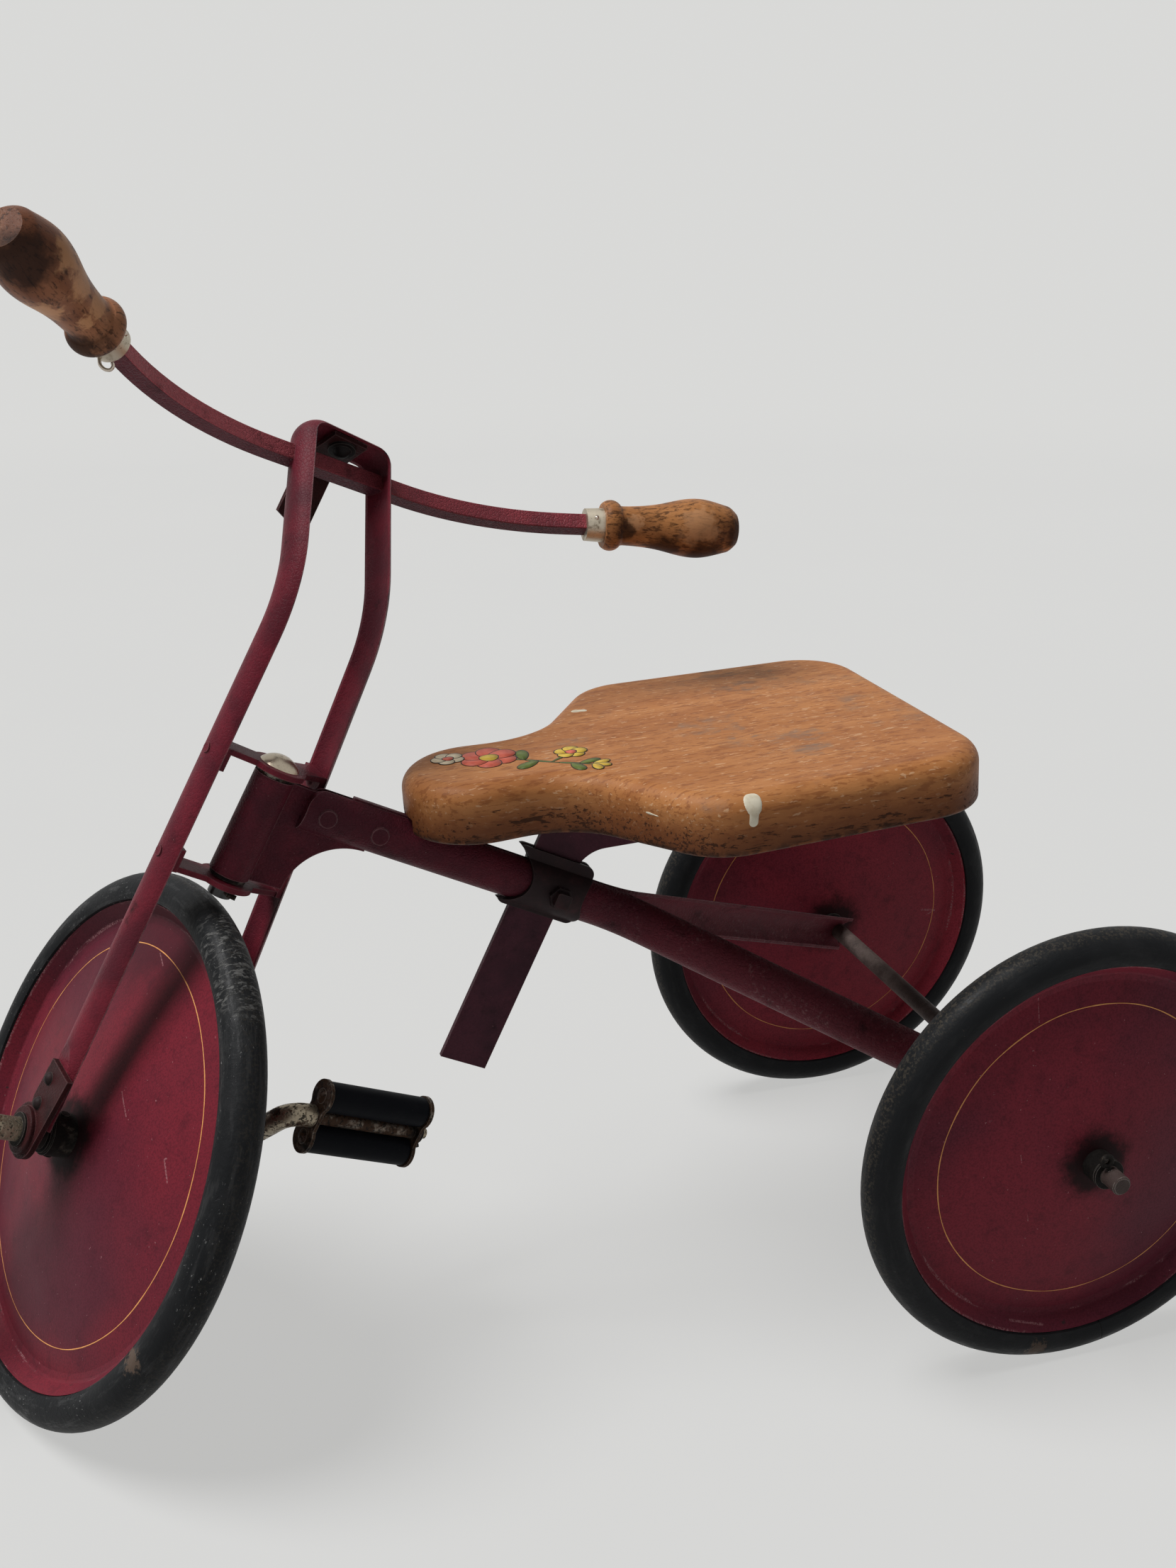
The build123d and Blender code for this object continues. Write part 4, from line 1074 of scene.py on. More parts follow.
@dataclass
class Wheels:
    """The three disc wheels: their enamel, tyres, hubs and pinstripes."""

    front: Axle
    rear_left: Axle
    rear_right: Axle
    front_outer: float = 0.1395
    rear_outer: float = 0.120
    front_rim: float = 0.1227
    rear_rim: float = 0.1032
    front_hub: float = 0.011
    rear_hub: float = 0.008
    front_stripe: float = 0.1015
    rear_stripe: float = 0.0815
    first_seed: float = 0.7
    seed_step: float = 1.3
    front_marks: tuple[tuple[Point, Point, float], ...] = (
        ((0.18192, 0.07153, 0.15025), (0.18191, 0.07962, 0.14280), 0.0011),
        ((0.19744, 0.02472, 0.16416), (0.19679, 0.03680, 0.15690), 0.0008),
        ((0.17131, -0.01759, 0.21600), (0.17084, -0.00878, 0.21316), 0.0008),
    )
    near_marks: tuple[tuple[Point, Point, float], ...] = (
        ((-0.22036, 0.16561, 0.12978), (-0.22792, 0.16523, 0.09070), 0.0006),
        ((-0.22957, 0.15520, 0.20910), (-0.22961, 0.15749, 0.19725), 0.0006),
        ((-0.22748, 0.15792, 0.02657), (-0.24590, 0.15930, 0.02065), 0.0016),
    )
    far_marks: tuple[tuple[Point, Point, float], ...] = (
        ((-0.33291, -0.14791, 0.11651), (-0.34411, -0.15045, 0.11339), 0.0016),
        ((-0.33752, -0.14899, 0.11177), (-0.34411, -0.15045, 0.11339), 0.0008),
    )
    # Painted shadow on the top of the front disc.
    front_painted_shadow: tuple[tuple[Point, float], ...] = (((0.158, -0.030, 0.232), 0.060),)
    front_scuffs: tuple[Point, ...] = ((0.13994, 0.03252, 0.24092), (0.13619, 0.05794, 0.22835))
    front_gouges: tuple[Point, ...] = ((0.20683, 0.12144, 0.07932),)
    near_gouges: tuple[Point, ...] = ((-0.23964, 0.16433, 0.00949),)
    near_joint: Point = (-0.27814, 0.16477, 0.01437)
    # One enamel in three tones: the front disc's copy is darker as painted shade, the far rear disc's copy
    # lighter as painted light.
    front_paints_painted_shade: tuple[Colour, Colour] = ((0.178, 0.019, 0.031), (0.100, 0.017, 0.029))
    near_paints: tuple[Colour, Colour] = ((0.205, 0.023, 0.037), (0.116, 0.021, 0.035))
    far_paints_painted_light: tuple[Colour, Colour] = ((0.30, 0.033, 0.050), (0.19, 0.030, 0.046))
    amber: HandPaint = HandPaint("pinstripe_amber", (0.78, 0.36, 0.120), (0.60, 0.24, 0.078),
                                 (0.17, 0.022, 0.032), 0.45)

    def build(self) -> None:
        """Lays a pinstripe on each disc face."""
        line = self.amber.material()
        discs = (
            ("front_left_disc", "front_wheel", self.front, self.front_stripe, 1),
            ("front_right_disc", "front_wheel", self.front, self.front_stripe, -1),
            ("rear_left_outer_disc", "rear_left_wheel", self.rear_left, self.rear_stripe, 1),
            ("rear_left_inner_disc", "rear_left_wheel", self.rear_left, self.rear_stripe, -1),
            ("rear_right_outer_disc", "rear_right_wheel", self.rear_right, self.rear_stripe, -1),
            ("rear_right_inner_disc", "rear_right_wheel", self.rear_right, self.rear_stripe, 1),
        )
        for number, (node, body, axle, radius, face) in enumerate(discs):
            seed = self.first_seed + self.seed_step * number
            Pinstripe(node, body, axle, radius, face, seed).build(line)

    def dress(self) -> None:
        """Gives the discs, tyres and hubs their finishes."""
        enamel = DiscEnamel("front_disc_enamel", self.front, self.front_rim, self.front_hub,
                            *self.front_paints_painted_shade, self.front_marks, self.front_painted_shadow)
        paint_on(enamel.material(), "front_left_disc", "front_right_disc")
        rubber = TyreRubber("front_tyre_rubber", self.front, self.front_outer, self.front_gouges,
                            streak_highlight=0.45, scuffs=self.front_scuffs, dusty=0.25, glint_amount=0.8)
        paint_on(rubber.material(), "front_tyre")
        # Hub steel is made dark: grease, and painted shade for the hubs that sit behind the lugs.
        grease_and_shade_steel = PittedSteel("hub_steel", bright=(0.11, 0.095, 0.080), rust=(0.018, 0.012, 0.010), rusty=0.75,
                             oily=0.95).material()
        for side, axle, paints, marks, joint, gouges in (
            (Side.LEFT, self.rear_left, self.near_paints, self.near_marks, self.near_joint, self.near_gouges),
            (Side.RIGHT, self.rear_right, self.far_paints_painted_light, self.far_marks, None, ()),
        ):
            name = f"rear_{side.word}"
            enamel = DiscEnamel(f"{name}_disc_enamel", axle, self.rear_rim, self.rear_hub, *paints, marks)
            paint_on(enamel.material(), f"{name}_outer_disc", f"{name}_inner_disc")
            rubber = TyreRubber(f"{name}_tyre_rubber", axle, self.rear_outer, gouges, streak_highlight=0.12,
                                joint=joint)
            paint_on(rubber.material(), f"{name}_tyre")
            paint_on(grease_and_shade_steel, f"{name}_hub")
        paint_on(grease_and_shade_steel, "front_hub", "hub_pin", "axle_keepers", "crank_spacers", "pedal_keepers")


@dataclass
class FrameAndFork:
    """The backbone, head, rear axle, fork, crowns, lugs and bracket."""

    framed: tuple[str, ...] = ("head_lug", "backbone_left", "backbone_right", "head_rivets")
    forked: tuple[str, ...] = ("fork_strip", "upper_crown", "lower_crown", "crown_rivets")
    plates: tuple[str, ...] = ("fork_lug_left", "fork_lug_right", "front_bracket")
    heads: tuple[str, ...] = ("lug_rivets", "bracket_bolt")
    blackened: tuple[str, ...] = ("clamp_left", "clamp_right", "clamp_bolt", "clamp_nut")
    oiled: tuple[str, ...] = ("head_bush_upper", "head_bush_lower", "axle_bush_left", "axle_bush_right",
                              "pin_keeper")

    def dress(self) -> None:
        """Gives the frame and fork their finishes."""
        # Frame enamel: the rear legs are lighter than the spine, with pale flakes there that are partly
        # crazed paint and partly painted sheen.
        frame_coat = FrameEnamel("frame_enamel", coat=(0.108, 0.016, 0.026), rubbed=(0.42, 0.26, 0.26),
                                 lightened=(0.175, 0.034, 0.046), lighten_from=-0.03, lighten_to=-0.12, crazed=0.5,
                                 pale_flakes_and_sheen=0.30)
        fork = FrameEnamel("fork_enamel", coat=(0.160, 0.019, 0.031), drift=(0.082, 0.014, 0.022), dirty=0.35,
                           chipped=0.695)
        # Bar enamel: its near part is painted lighter as a painted highlight, and its downward faces carry
        # painted shade.
        bar = FrameEnamel("bar_enamel", coat=(0.280, 0.052, 0.066), drift=(0.165, 0.036, 0.046), dirty=0.5,
                          gloss=0.10, lightened=(0.55, 0.130, 0.150), lighten_from=0.06, lighten_to=0.12,
                          under=(0.040, 0.009, 0.016), crazed=0.6)
        lugs = FrameEnamel("lug_enamel", coat=(0.040, 0.010, 0.011), drift=(0.018, 0.008, 0.008), dirty=0.7)
        # Rivet and bolt heads: near-black steel whose light rubbed edges are partly painted rim highlight.
        rivet_steel_rim_highlight = BlackSteel("rivet_steel", (0.010, 0.008, 0.008), (0.030, 0.016, 0.016), (0.17, 0.155, 0.14))
        oily = PittedSteel("oiled_steel", bright=(0.16, 0.14, 0.115), rusty=0.6, oily=0.85)
        axle = FrameEnamel("axle_enamel", coat=(0.150, 0.116, 0.104), drift=(0.060, 0.043, 0.039), dirty=0.6,
                           rubbed=(0.75, 0.68, 0.62), chipped=0.70)
        dome = Nickel("nickel_dome", plate=(0.46, 0.395, 0.305), plated_above=0.305)
        for finish, names in (
            (frame_coat, self.framed),
            (fork, self.forked),
            (bar, ("handlebar",)),
            (lugs, self.plates),
            (BlackSteel("blackened_steel"), self.blackened),
            (rivet_steel_rim_highlight, self.heads),
            (oily, self.oiled),
            (axle, ("rear_axle",)),
            (dome, ("steering_pin",)),
        ):
            paint_on(finish.material(), *names)


@dataclass
class Grips:
    """The turned grips with their ferrules, pins and a loop of tying wire."""

    left_burns: tuple[tuple[Point, float], ...] = (
        ((0.2005, 0.0665, 0.5550), 0.017),
        ((0.1813, 0.0180, 0.5157), 0.014),
        ((0.1720, 0.0180, 0.5200), 0.010),
    )
    # Painted highlight: tan patches along one side of the left grip.
    left_painted_highlights: tuple[tuple[Point, float], ...] = (
        ((0.1948, 0.0422, 0.5347), 0.011),
        ((0.1776, 0.0328, 0.5293), 0.005),
        ((0.1821, 0.0540, 0.5576), 0.010),
        ((0.1773, 0.0435, 0.5469), 0.011),
        ((0.1716, 0.0303, 0.5361), 0.008),
    )
    # Right grip: dark patches at the neck and end, and painted shade along its underside.
    right_stains_and_shade: tuple[tuple[Point, float], ...] = (
        ((-0.0996, -0.0850, 0.4020), 0.008),
        ((-0.1220, -0.0835, 0.3890), 0.013),
        ((-0.1450, -0.0810, 0.3850), 0.016),
        ((-0.1640, -0.0830, 0.3960), 0.012),
    )
    right_rubs: tuple[tuple[Point, float], ...] = (
        ((-0.1420, -0.0767, 0.4020), 0.013),
        ((-0.1060, -0.0840, 0.4060), 0.006),
    )
    wire_path: tuple[Point, ...] = (
        (0.17290, 0.00820, 0.51480), (0.17305, 0.00905, 0.51195), (0.17290, 0.01000, 0.50965),
        (0.17129, 0.01115, 0.50785), (0.16900, 0.01199, 0.50754), (0.16766, 0.01188, 0.50898),
        (0.16779, 0.01130, 0.51044),
    )
    wire: float = 0.0008
    pin: float = 0.0011
    pin_half: float = 0.0100

    @property
    def middle(self) -> Vector:
        """The middle of the fork strip, which lies between the grips."""
        low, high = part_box("fork_strip")
        return (low + high) / 2

    def build(self) -> None:
        """Makes the pins through the ferrules and the bent loop of wire, in place of the CAD pins."""
        lines = {side: Vector(long_line(f"grip_{side.word}", self.middle).axis) for side in Side}
        plane = lines[Side.LEFT].cross(lines[Side.RIGHT]).normalized()
        bars: list[tuple[list[Vector], float]] = []
        for side in Side:
            low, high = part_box(f"ferrule_{side.word}")
            centre = (low + high) / 2
            reach = plane.cross(lines[side]).normalized() * self.pin_half
            bars.append(([centre - reach, centre + reach], self.pin))
        bars.append((self.wire_line(), self.wire))
        spots: list[Vector] = []
        faces: list[tuple[int, ...]] = []
        for line, radius in bars:
            bar_spots, bar_faces = tube(line, radius, len(spots))
            spots += bar_spots
            faces += bar_faces
        steel = Nickel("wire_steel", plate=(0.50, 0.43, 0.36), spotted=0.6).material()
        piece = new_piece("grip_pins_and_wire", spots, faces, "fork", [steel])
        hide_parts("grip_pins")

    def wire_line(self, between: int = 6) -> list[Vector]:
        """A smooth line through the wire's points.

        Args:
            between: Steps from each point to the next.

        Returns:
            Points of the line.
        """
        path = [Vector(p) for p in self.wire_path]
        line = [path[0]]
        for number in range(len(path) - 1):
            before, after = path[max(number - 1, 0)], path[min(number + 2, len(path) - 1)]
            start, end = path[number], path[number + 1]
            square = 2 * before - 5 * start + 4 * end - after
            cube = 3 * start - before - 3 * end + after
            for n in range(1, between + 1):
                t = n / between
                line.append(0.5 * (2 * start + (end - before) * t + square * t**2 + cube * t**3))
        return line

    def dress(self) -> None:
        """Gives the grips and ferrules their finishes."""
        for side, light, mid, dark, worn, stains_and_shade, rubs, curls in (
            (Side.LEFT, (0.33, 0.145, 0.075), (0.165, 0.063, 0.034), (0.018, 0.010, 0.0085), 0.6,
             self.left_burns, self.left_painted_highlights, 0.53),
            (Side.RIGHT, (0.46, 0.200, 0.072), (0.235, 0.090, 0.034), (0.030, 0.012, 0.007), 0.5,
             self.right_stains_and_shade, self.right_rubs, 0.47),
        ):
            line = long_line(f"grip_{side.word}", self.middle)
            wood = GripWood(f"grip_wood_{side.word}", line, light, mid, dark, worn, stains_and_shade, rubs, curls)
            paint_on(wood.material(), f"grip_{side.word}")
        plate = Nickel("nickel_ferrule", spotted=0.75, dull=0.16)
        paint_on(plate.material(), "ferrule_left", "ferrule_right")


@dataclass
class Cranks:
    """The crank axle and the two pedals."""

    def dress(self) -> None:
        """Gives the cranks and pedals their finishes."""
        rod = PittedSteel("crank_steel", bright=(0.29, 0.245, 0.180), rusty=0.42, oily=0.22)
        paint_on(rod.material(), "crank_axle")
        plates = PittedSteel("pedal_steel", bright=(0.17, 0.14, 0.115), rusty=0.80, oily=0.45).material()
        rubber = PedalRubber("pedal_rubber_black").material()
        for side in Side:
            name = f"{side.word}_pedal"
            paint_on(plates, f"{name}_inner_plate", f"{name}_outer_plate", f"{name}_rods")
            paint_on(rubber, f"{name}_blocks")


class Ink(Enum):
    """The paints of the sprig on the seat."""

    LINE = 0
    RED = 1
    YELLOW = 2
    GREEN = 3
    CREAM = 4


@dataclass(frozen=True)
class Petal:
    """One flat petal or leaf: its root, the way it points, its size in millimetres and its paint."""

    root: tuple[float, float]
    turn: float
    length: float
    width: float
    ink: Ink
    taper: float = 0.22

    def outline(self, grow: float, steps: int = 22) -> list[tuple[float, float]]:
        """The petal's edge.

        Args:
            grow: How far outside its own edge the line goes.
            steps: Number of points.

        Returns:
            Points in the sprig's plane, in millimetres.
        """
        turn = math.radians(self.turn)
        spots = []
        for number in range(steps):
            step = 2 * math.pi * number / steps
            along = self.length / 2 - (self.length / 2 + grow) * math.cos(step)
            across = (self.width / 2 + grow) * math.sin(step) * (1 - self.taper * math.cos(step))
            spots.append((self.root[0] + along * math.cos(turn) - across * math.sin(turn),
                          self.root[1] + along * math.sin(turn) + across * math.cos(turn)))
        return spots


def bloom(middle: tuple[float, float], petals: int, length: float, width: float, ink: Ink, eye: Ink,
          start: float, eye_share: float = 0.32) -> list[Petal]:
    """A round flower.

    Args:
        middle: Its middle.
        petals: Number of petals.
        length: Length of a petal.
        width: Width of a petal.
        ink: The petals' paint.
        eye: The paint of its middle.
        start: The way the first petal points.
        eye_share: The eye's radius as a share of a petal's length.

    Returns:
        The petals, then the eye.
    """
    made = [Petal(middle, start + 360 * n / petals, length, width, ink) for n in range(petals)]
    half = length * eye_share
    return made + [Petal((middle[0] - half, middle[1]), 0.0, 2 * half, 2 * half, eye)]


@dataclass
class Sprig:
    """A small painted sprig of flowers laid on the seat."""

    centre: tuple[float, float] = (-0.0130, 0.0015)
    along: tuple[float, float] = (-0.893, 0.450)
    line: float = 0.55
    lift: float = 0.00006
    layer: float = 0.000004
    bury: float = 0.0001
    above: float = 0.4
    inks: tuple[HandPaint, ...] = (
        HandPaint("sprig_line", (0.020, 0.014, 0.011), (0.050, 0.030, 0.018), (0.30, 0.12, 0.045), 0.5),
        HandPaint("sprig_red", (0.66, 0.150, 0.095), (0.52, 0.090, 0.060), (0.40, 0.17, 0.07), 0.4),
        HandPaint("sprig_yellow", (0.66, 0.46, 0.070), (0.52, 0.33, 0.040), (0.40, 0.17, 0.07), 0.4),
        HandPaint("sprig_green", (0.115, 0.150, 0.030), (0.070, 0.100, 0.022), (0.36, 0.15, 0.06), 0.4),
        HandPaint("sprig_cream", (0.78, 0.66, 0.47), (0.66, 0.54, 0.37), (0.40, 0.17, 0.07), 0.4),
    )

    def petals(self) -> list[Petal]:
        """The sprig's stems, leaves and flowers.

        Returns:
            Petals from the lowest to the topmost.
        """
        stems = [Petal((41, 9), 187, 19, 1.5, Ink.GREEN), Petal((23, 7), 192, 19, 1.5, Ink.GREEN),
                 Petal((5, 3), 188, 18, 1.5, Ink.GREEN), Petal((19, 6), -62, 15, 1.3, Ink.GREEN),
                 Petal((-22, 0), 172, 15, 1.3, Ink.GREEN)]
        leaves = [Petal((11, 4), 118, 14, 6.5, Ink.GREEN), Petal((4, 3), -108, 15, 6.0, Ink.GREEN),
                  Petal((30, 8), 52, 12, 5.5, Ink.GREEN), Petal((34, 8), -40, 11, 5.0, Ink.GREEN)]
        return (stems + leaves + bloom((-15, 0), 6, 15, 12, Ink.RED, Ink.YELLOW, 15)
                + bloom((26, -9), 5, 8.5, 7.5, Ink.YELLOW, Ink.RED, 40)
                + bloom((-36, 2), 5, 8.5, 7.5, Ink.CREAM, Ink.RED, 10)
                + [Petal((41, 9), turn, 9, 4.5, Ink.YELLOW) for turn in (-42, 8, 58)])

    def build(self) -> None:
        """Lays every petal on the board, each on a slightly larger dark one."""
        skin = skin_of("seat_board")
        along = Vector((*self.along, 0)).normalized()
        across = Vector((-along.y, along.x, 0)) * -1
        spots: list[Vector] = []
        faces: list[tuple[int, ...]] = []
        inks: list[int] = []
        lift = self.lift
        for petal in self.petals():
            for ink, grow in ((Ink.LINE, self.line), (petal.ink, 0.0)):
                lift += self.layer
                edge = petal.outline(grow)
                middle = (sum(p[0] for p in edge) / len(edge), sum(p[1] for p in edge) / len(edge))
                first = len(spots)
                for u, v in [middle, *edge]:
                    over = Vector((*self.centre, self.above)) + (along * u + across * v) / MM_PER_M
                    hit, _, _, _ = skin.ray_cast(over, Vector((0, 0, -1)))
                    spots.append(hit + Vector((0, 0, lift)))
                count = len(edge)
                under = first + count + 1
                spots += [Vector((spot.x, spot.y, spot.z - lift - self.bury)) for spot in spots[first:under]]
                for n in range(count):
                    here, there = first + 1 + n, first + 1 + (n + 1) % count
                    faces += [(first, there, here), (under, here + count + 1, there + count + 1),
                              (here, there, there + count + 1, here + count + 1)]
                inks += [ink.value] * (3 * count)
        paints = [ink.material() for ink in self.inks]
        new_piece("seat_sprig", spots, faces, "seat", paints, inks)


@dataclass
class PaintBlob:
    """A spilt drop of paint that follows the board's surface: a round bulb with a narrower tail."""

    name: str
    start: Point
    end: Point
    half: float
    tail: float
    thick: float = 0.00045
    bulb: float = 0.32
    tail_from: float = 0.2
    tail_round: float = 0.12
    end_slope: float = 6.0
    least: float = 0.0001
    hem: float = 0.00008
    bury: float = 0.0002

    def half_width(self, share: float) -> float:
        """Half the drop's width at a share of its length.

        Args:
            share: The share, 0 at its top and 1 at its end.

        Returns:
            The half width in metres.
        """
        bulb = run = 0.0
        if share < 2 * self.bulb:
            bulb = self.half * math.sqrt(max(0.0, 1 - ((share - self.bulb) / self.bulb) ** 2))
        if share > self.tail_from:
            run = self.tail * min(1.0, math.sqrt(max(0.0, (1 - share) / self.tail_round)))
        return max(bulb, run, self.least)

    def build(self, finish: bpy.types.Material, rows: int = 22, columns: int = 12) -> None:
        """Lays the drop on the board.

        Args:
            finish: The paint.
            rows: Steps down its length.
            columns: Steps across it.
        """
        skin = skin_of("seat_board")
        start, end = Vector(self.start), Vector(self.end)
        _, facing, _, _ = skin.find_nearest((start + end) / 2)
        across = (end - start).cross(facing).normalized()
        spots: list[Vector] = []
        for row in range(rows + 1):
            share = row / rows
            wide = self.half_width(share)
            ends = min(1.0, self.end_slope * min(share, 1 - share))
            for column in range(columns + 1):
                c = 2 * column / columns - 1
                spot, normal, _, _ = skin.find_nearest(start.lerp(end, share) + across * (c * wide))
                full = (1 - c**4) * ends
                spots.append(spot + normal * (self.thick * full - self.hem * (1 - full)))
        count = len(spots)
        for spot in spots[:count]:
            hit, normal, _, _ = skin.find_nearest(spot)
            spots.append(hit - normal * self.bury)
        stride = columns + 1
        faces: list[tuple[int, ...]] = []
        for row in range(rows):
            for column in range(columns):
                here, there = row * stride + column, (row + 1) * stride + column
                quad = (here, here + 1, there + 1, there)
                faces += [quad, tuple(count + n for n in reversed(quad))]
        rim = list(range(columns)) + [row * stride + columns for row in range(rows)]
        rim += [rows * stride + column for column in range(columns, 0, -1)]
        rim += [row * stride for row in range(rows, 0, -1)]
        for here, there in zip(rim, rim[1:] + rim[:1]):
            faces.append((there, here, count + here, count + there))
        new_piece(self.name, spots, faces, "seat", [finish])


@dataclass
class Seat:
    """The seat board with its painted sprig, paint drips and post."""

    top: float = 0.3058
    slope: float = 0.0507
    thick: float = 0.030
    drops: tuple[PaintBlob, ...] = (
        PaintBlob("seat_paint_drip", (-0.1000, 0.0995, 0.3105), (-0.0992, 0.1065, 0.2955), 0.0046, 0.0024),
        PaintBlob("seat_paint_spot", (-0.0600, -0.0595, 0.3088), (-0.0690, -0.0575, 0.3092), 0.0022, 0.0016),
        PaintBlob("seat_paint_fleck", (-0.0570, 0.0728, 0.2968), (-0.0615, 0.0798, 0.2962), 0.0006, 0.0003,
                  0.0002),
    )
    rubs: tuple[tuple[Point, float], ...] = (
        ((-0.118, 0.0, 0.312), 0.022),
        ((-0.150, 0.045, 0.313), 0.026),
        ((-0.160, -0.075, 0.314), 0.030),
    )
    cream: HandPaint = HandPaint("spilt_cream", (0.72, 0.66, 0.52), (0.62, 0.54, 0.40),
                                 (0.36, 0.22, 0.12), 0.2)

    def build(self) -> None:
        """Paints the sprig and lets the drops fall."""
        Sprig().build()
        paint = self.cream.material()
        for drop in self.drops:
            drop.build(paint)

    def dress(self) -> None:
        """Gives the board and its fixings their finishes."""
        wood = SeatWood("seat_beech", self.top, self.slope, self.thick, self.rubs)
        paint_on(wood.material(), "seat_board")
        post = FrameEnamel("post_enamel", coat=(0.086, 0.025, 0.038), drift=(0.045, 0.016, 0.024), dirty=0.5,
                           crazed=0.15)
        paint_on(post.material(), "seat_post", "seat_plate")
        screws = PittedSteel("screw_steel", rusty=0.7, oily=0.5)
        paint_on(screws.material(), "seat_screws")


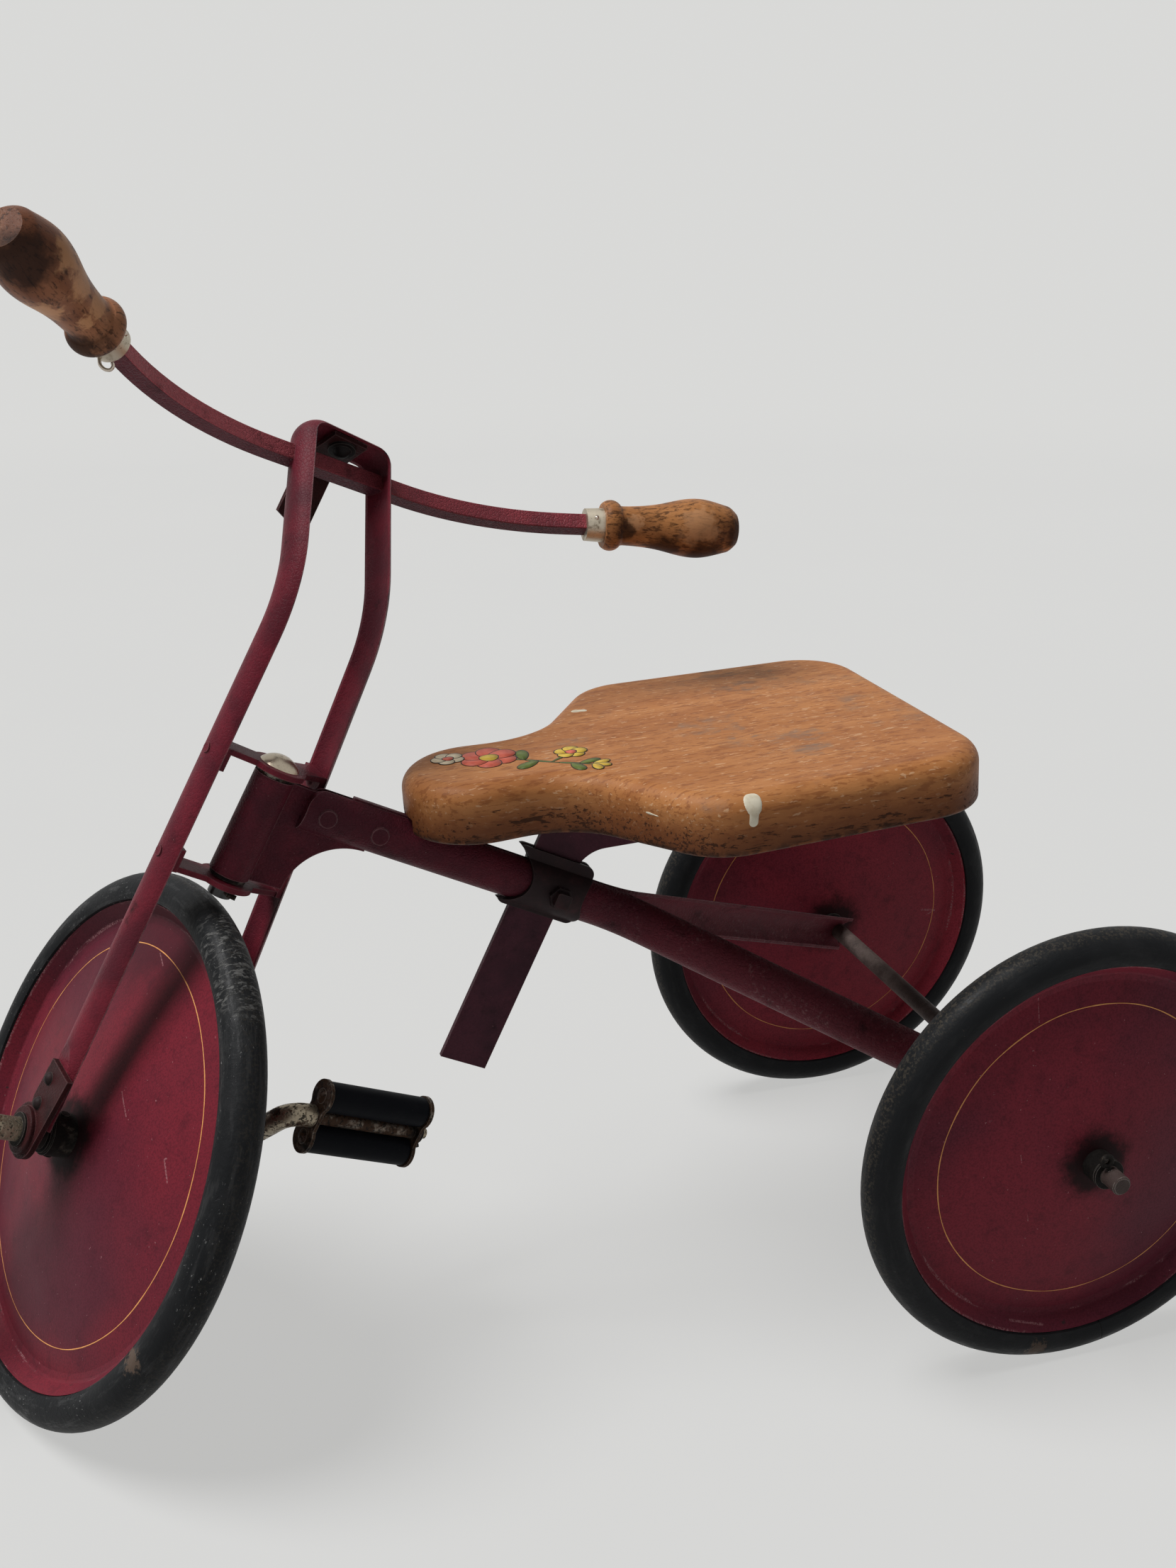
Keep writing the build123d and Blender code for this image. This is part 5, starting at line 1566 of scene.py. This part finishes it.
@dataclass
class Stage:
    """Pale floor, soft light from above and the left, and the camera."""

    camera_place: Point = (0.20113, 0.8062, 0.5835)
    yaw: float = math.radians(-107.37)
    pitch: float = math.radians(19.31)
    roll: float = math.radians(-0.51)
    lens: float = 39.52
    sensor: float = 36.0
    clip: float = 0.01
    floor_steps: int = 96
    floor_rings: tuple[float, ...] = (0.5, 1.0, 2.0, 4.0, 9.0, 20.0)
    floor_fade: tuple[float, float] = (1.2, 4.0)
    cloudy: float = 0.985
    paper: Colour = (0.64, 0.64, 0.635)
    backdrop: Colour = (0.695, 0.695, 0.684)
    pale: float = 0.74
    fill: float = 0.07
    key: float = 3.35
    key_from: Point = (0.42, -0.10, 0.90)
    key_spread: float = math.radians(32)

    def build(self) -> None:
        """Builds floor, light and camera."""
        self.lay_floor()
        self.light()
        self.place_camera()

    def lay_floor(self) -> None:
        """Lays a round floor of pale paper."""
        steps = self.floor_steps
        turns = [2 * math.pi * n / steps for n in range(steps)]
        spots = [(0.0, 0.0, 0.0)]
        faces: list[tuple[int, ...]] = [(0, 1 + n, 1 + (n + 1) % steps) for n in range(steps)]
        for reach in self.floor_rings:
            spots += [(reach * math.cos(turn), reach * math.sin(turn), 0.0) for turn in turns]
        for ring in range(1, len(self.floor_rings)):
            inner, outer = 1 + (ring - 1) * steps, 1 + ring * steps
            for n in range(steps):
                after = (n + 1) % steps
                faces.append((inner + n, outer + n, outer + after, inner + after))
        mesh = bpy.data.meshes.new("floor")
        mesh.from_pydata(spots, [], faces)
        floor = bpy.data.objects.new("floor", mesh)
        bpy.context.scene.collection.objects.link(floor)
        s = NodeSheet("floor_paper")
        shade = tuple(self.cloudy * c for c in self.paper)
        colour = s.mix(s.step(s.noise(3.0, 3.0), 0.35, 0.65), self.paper, shade)
        mesh.materials.append(s.finish(Base_Color=colour, Roughness=0.9, Specular_IOR_Level=0.0))
        glow = s.node("ShaderNodeEmission")
        s.put(glow.inputs["Color"], self.backdrop)
        path = s.node("ShaderNodeLightPath")
        seen = s.either(*(path.outputs[f"Is {kind} Ray"] for kind in ("Camera", "Glossy", "Transmission")))
        mixed = s.node("ShaderNodeMixShader")
        far = s.step(s.vector("LENGTH", s.place), *self.floor_fade)
        s.put(mixed.inputs[0], s.both(seen, s.either(far, self.pale)))
        s.put(mixed.inputs[1], s.shader.outputs["BSDF"])
        s.put(mixed.inputs[2], glow.outputs["Emission"])
        s.put(s.output.inputs["Surface"], mixed.outputs["Shader"])
        LOG.info("floor laid")

    def light(self) -> None:
        """Sets the key lamp and the world."""
        lamp = bpy.data.lights.new("key", "SUN")
        lamp.energy = self.key
        lamp.angle = self.key_spread
        key = bpy.data.objects.new("key", lamp)
        key.rotation_euler = Vector(self.key_from).to_track_quat("Z", "Y").to_euler()
        bpy.context.scene.collection.objects.link(key)
        world = bpy.data.worlds.new("studio")
        bpy.context.scene.world = world
        world.use_nodes = True
        tree = world.node_tree
        tree.nodes.clear()
        kinds = ("OutputWorld", "Background", "Background", "MixShader", "LightPath", "Math", "Math")
        made = [tree.nodes.new(f"ShaderNode{kind}") for kind in kinds]
        output, seen, soft, mixed, path, glossy, clear = made
        seen.inputs["Color"].default_value = (*self.backdrop, 1.0)
        soft.inputs["Strength"].default_value = self.fill
        glossy.operation = "MAXIMUM"
        clear.operation = "MAXIMUM"
        for source, target in (
            (path.outputs["Is Camera Ray"], glossy.inputs[0]),
            (path.outputs["Is Glossy Ray"], glossy.inputs[1]),
            (glossy.outputs[0], clear.inputs[0]),
            (path.outputs["Is Transmission Ray"], clear.inputs[1]),
            (clear.outputs[0], mixed.inputs[0]),
            (soft.outputs[0], mixed.inputs[1]),
            (seen.outputs[0], mixed.inputs[2]),
            (mixed.outputs[0], output.inputs["Surface"]),
        ):
            tree.links.new(source, target)
        bpy.context.scene.view_settings.view_transform = "Standard"
        LOG.info("light set")

    def place_camera(self) -> None:
        """Places the camera at the photograph's view."""
        ahead = Vector((math.cos(self.yaw) * math.cos(self.pitch), math.sin(self.yaw) * math.cos(self.pitch),
                        -math.sin(self.pitch)))
        right = ahead.cross(Vector((0, 0, 1))).normalized()
        up = right.cross(ahead)
        across = right * math.cos(self.roll) + up * math.sin(self.roll)
        upward = up * math.cos(self.roll) - right * math.sin(self.roll)
        turn = Matrix((across, upward, -ahead)).transposed()
        data = bpy.data.cameras.new("camera")
        data.lens = self.lens
        data.sensor_width = self.sensor
        data.clip_start = self.clip
        camera = bpy.data.objects.new("camera", data)
        camera.matrix_world = Matrix.Translation(Vector(self.camera_place)) @ turn.to_4x4()
        bpy.context.scene.collection.objects.link(camera)
        bpy.context.scene.camera = camera
        LOG.info("camera placed")


def joint_line(name: str) -> Axle:
    """The turning line of the joint of this name in the record."""
    joint = next(j for j in frame["joints"] if j["name"] == name)
    return Axle(tuple(joint["pos_m"]), tuple(joint["axis"]))


def main() -> None:
    """Builds and dresses each sub-assembly in order."""
    logging.basicConfig(level=logging.INFO, format="%(name)s: %(message)s")
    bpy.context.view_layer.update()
    Stage().build()
    wheels = Wheels(front=joint_line("front_wheel_spin"), rear_left=joint_line("rear_left_spin"),
                    rear_right=joint_line("rear_right_spin"))
    wheels.build()
    wheels.dress()
    FrameAndFork().dress()
    grips = Grips()
    grips.build()
    grips.dress()
    Cranks().dress()
    seat = Seat()
    seat.build()
    seat.dress()


if __name__ == "__main__":
    main()
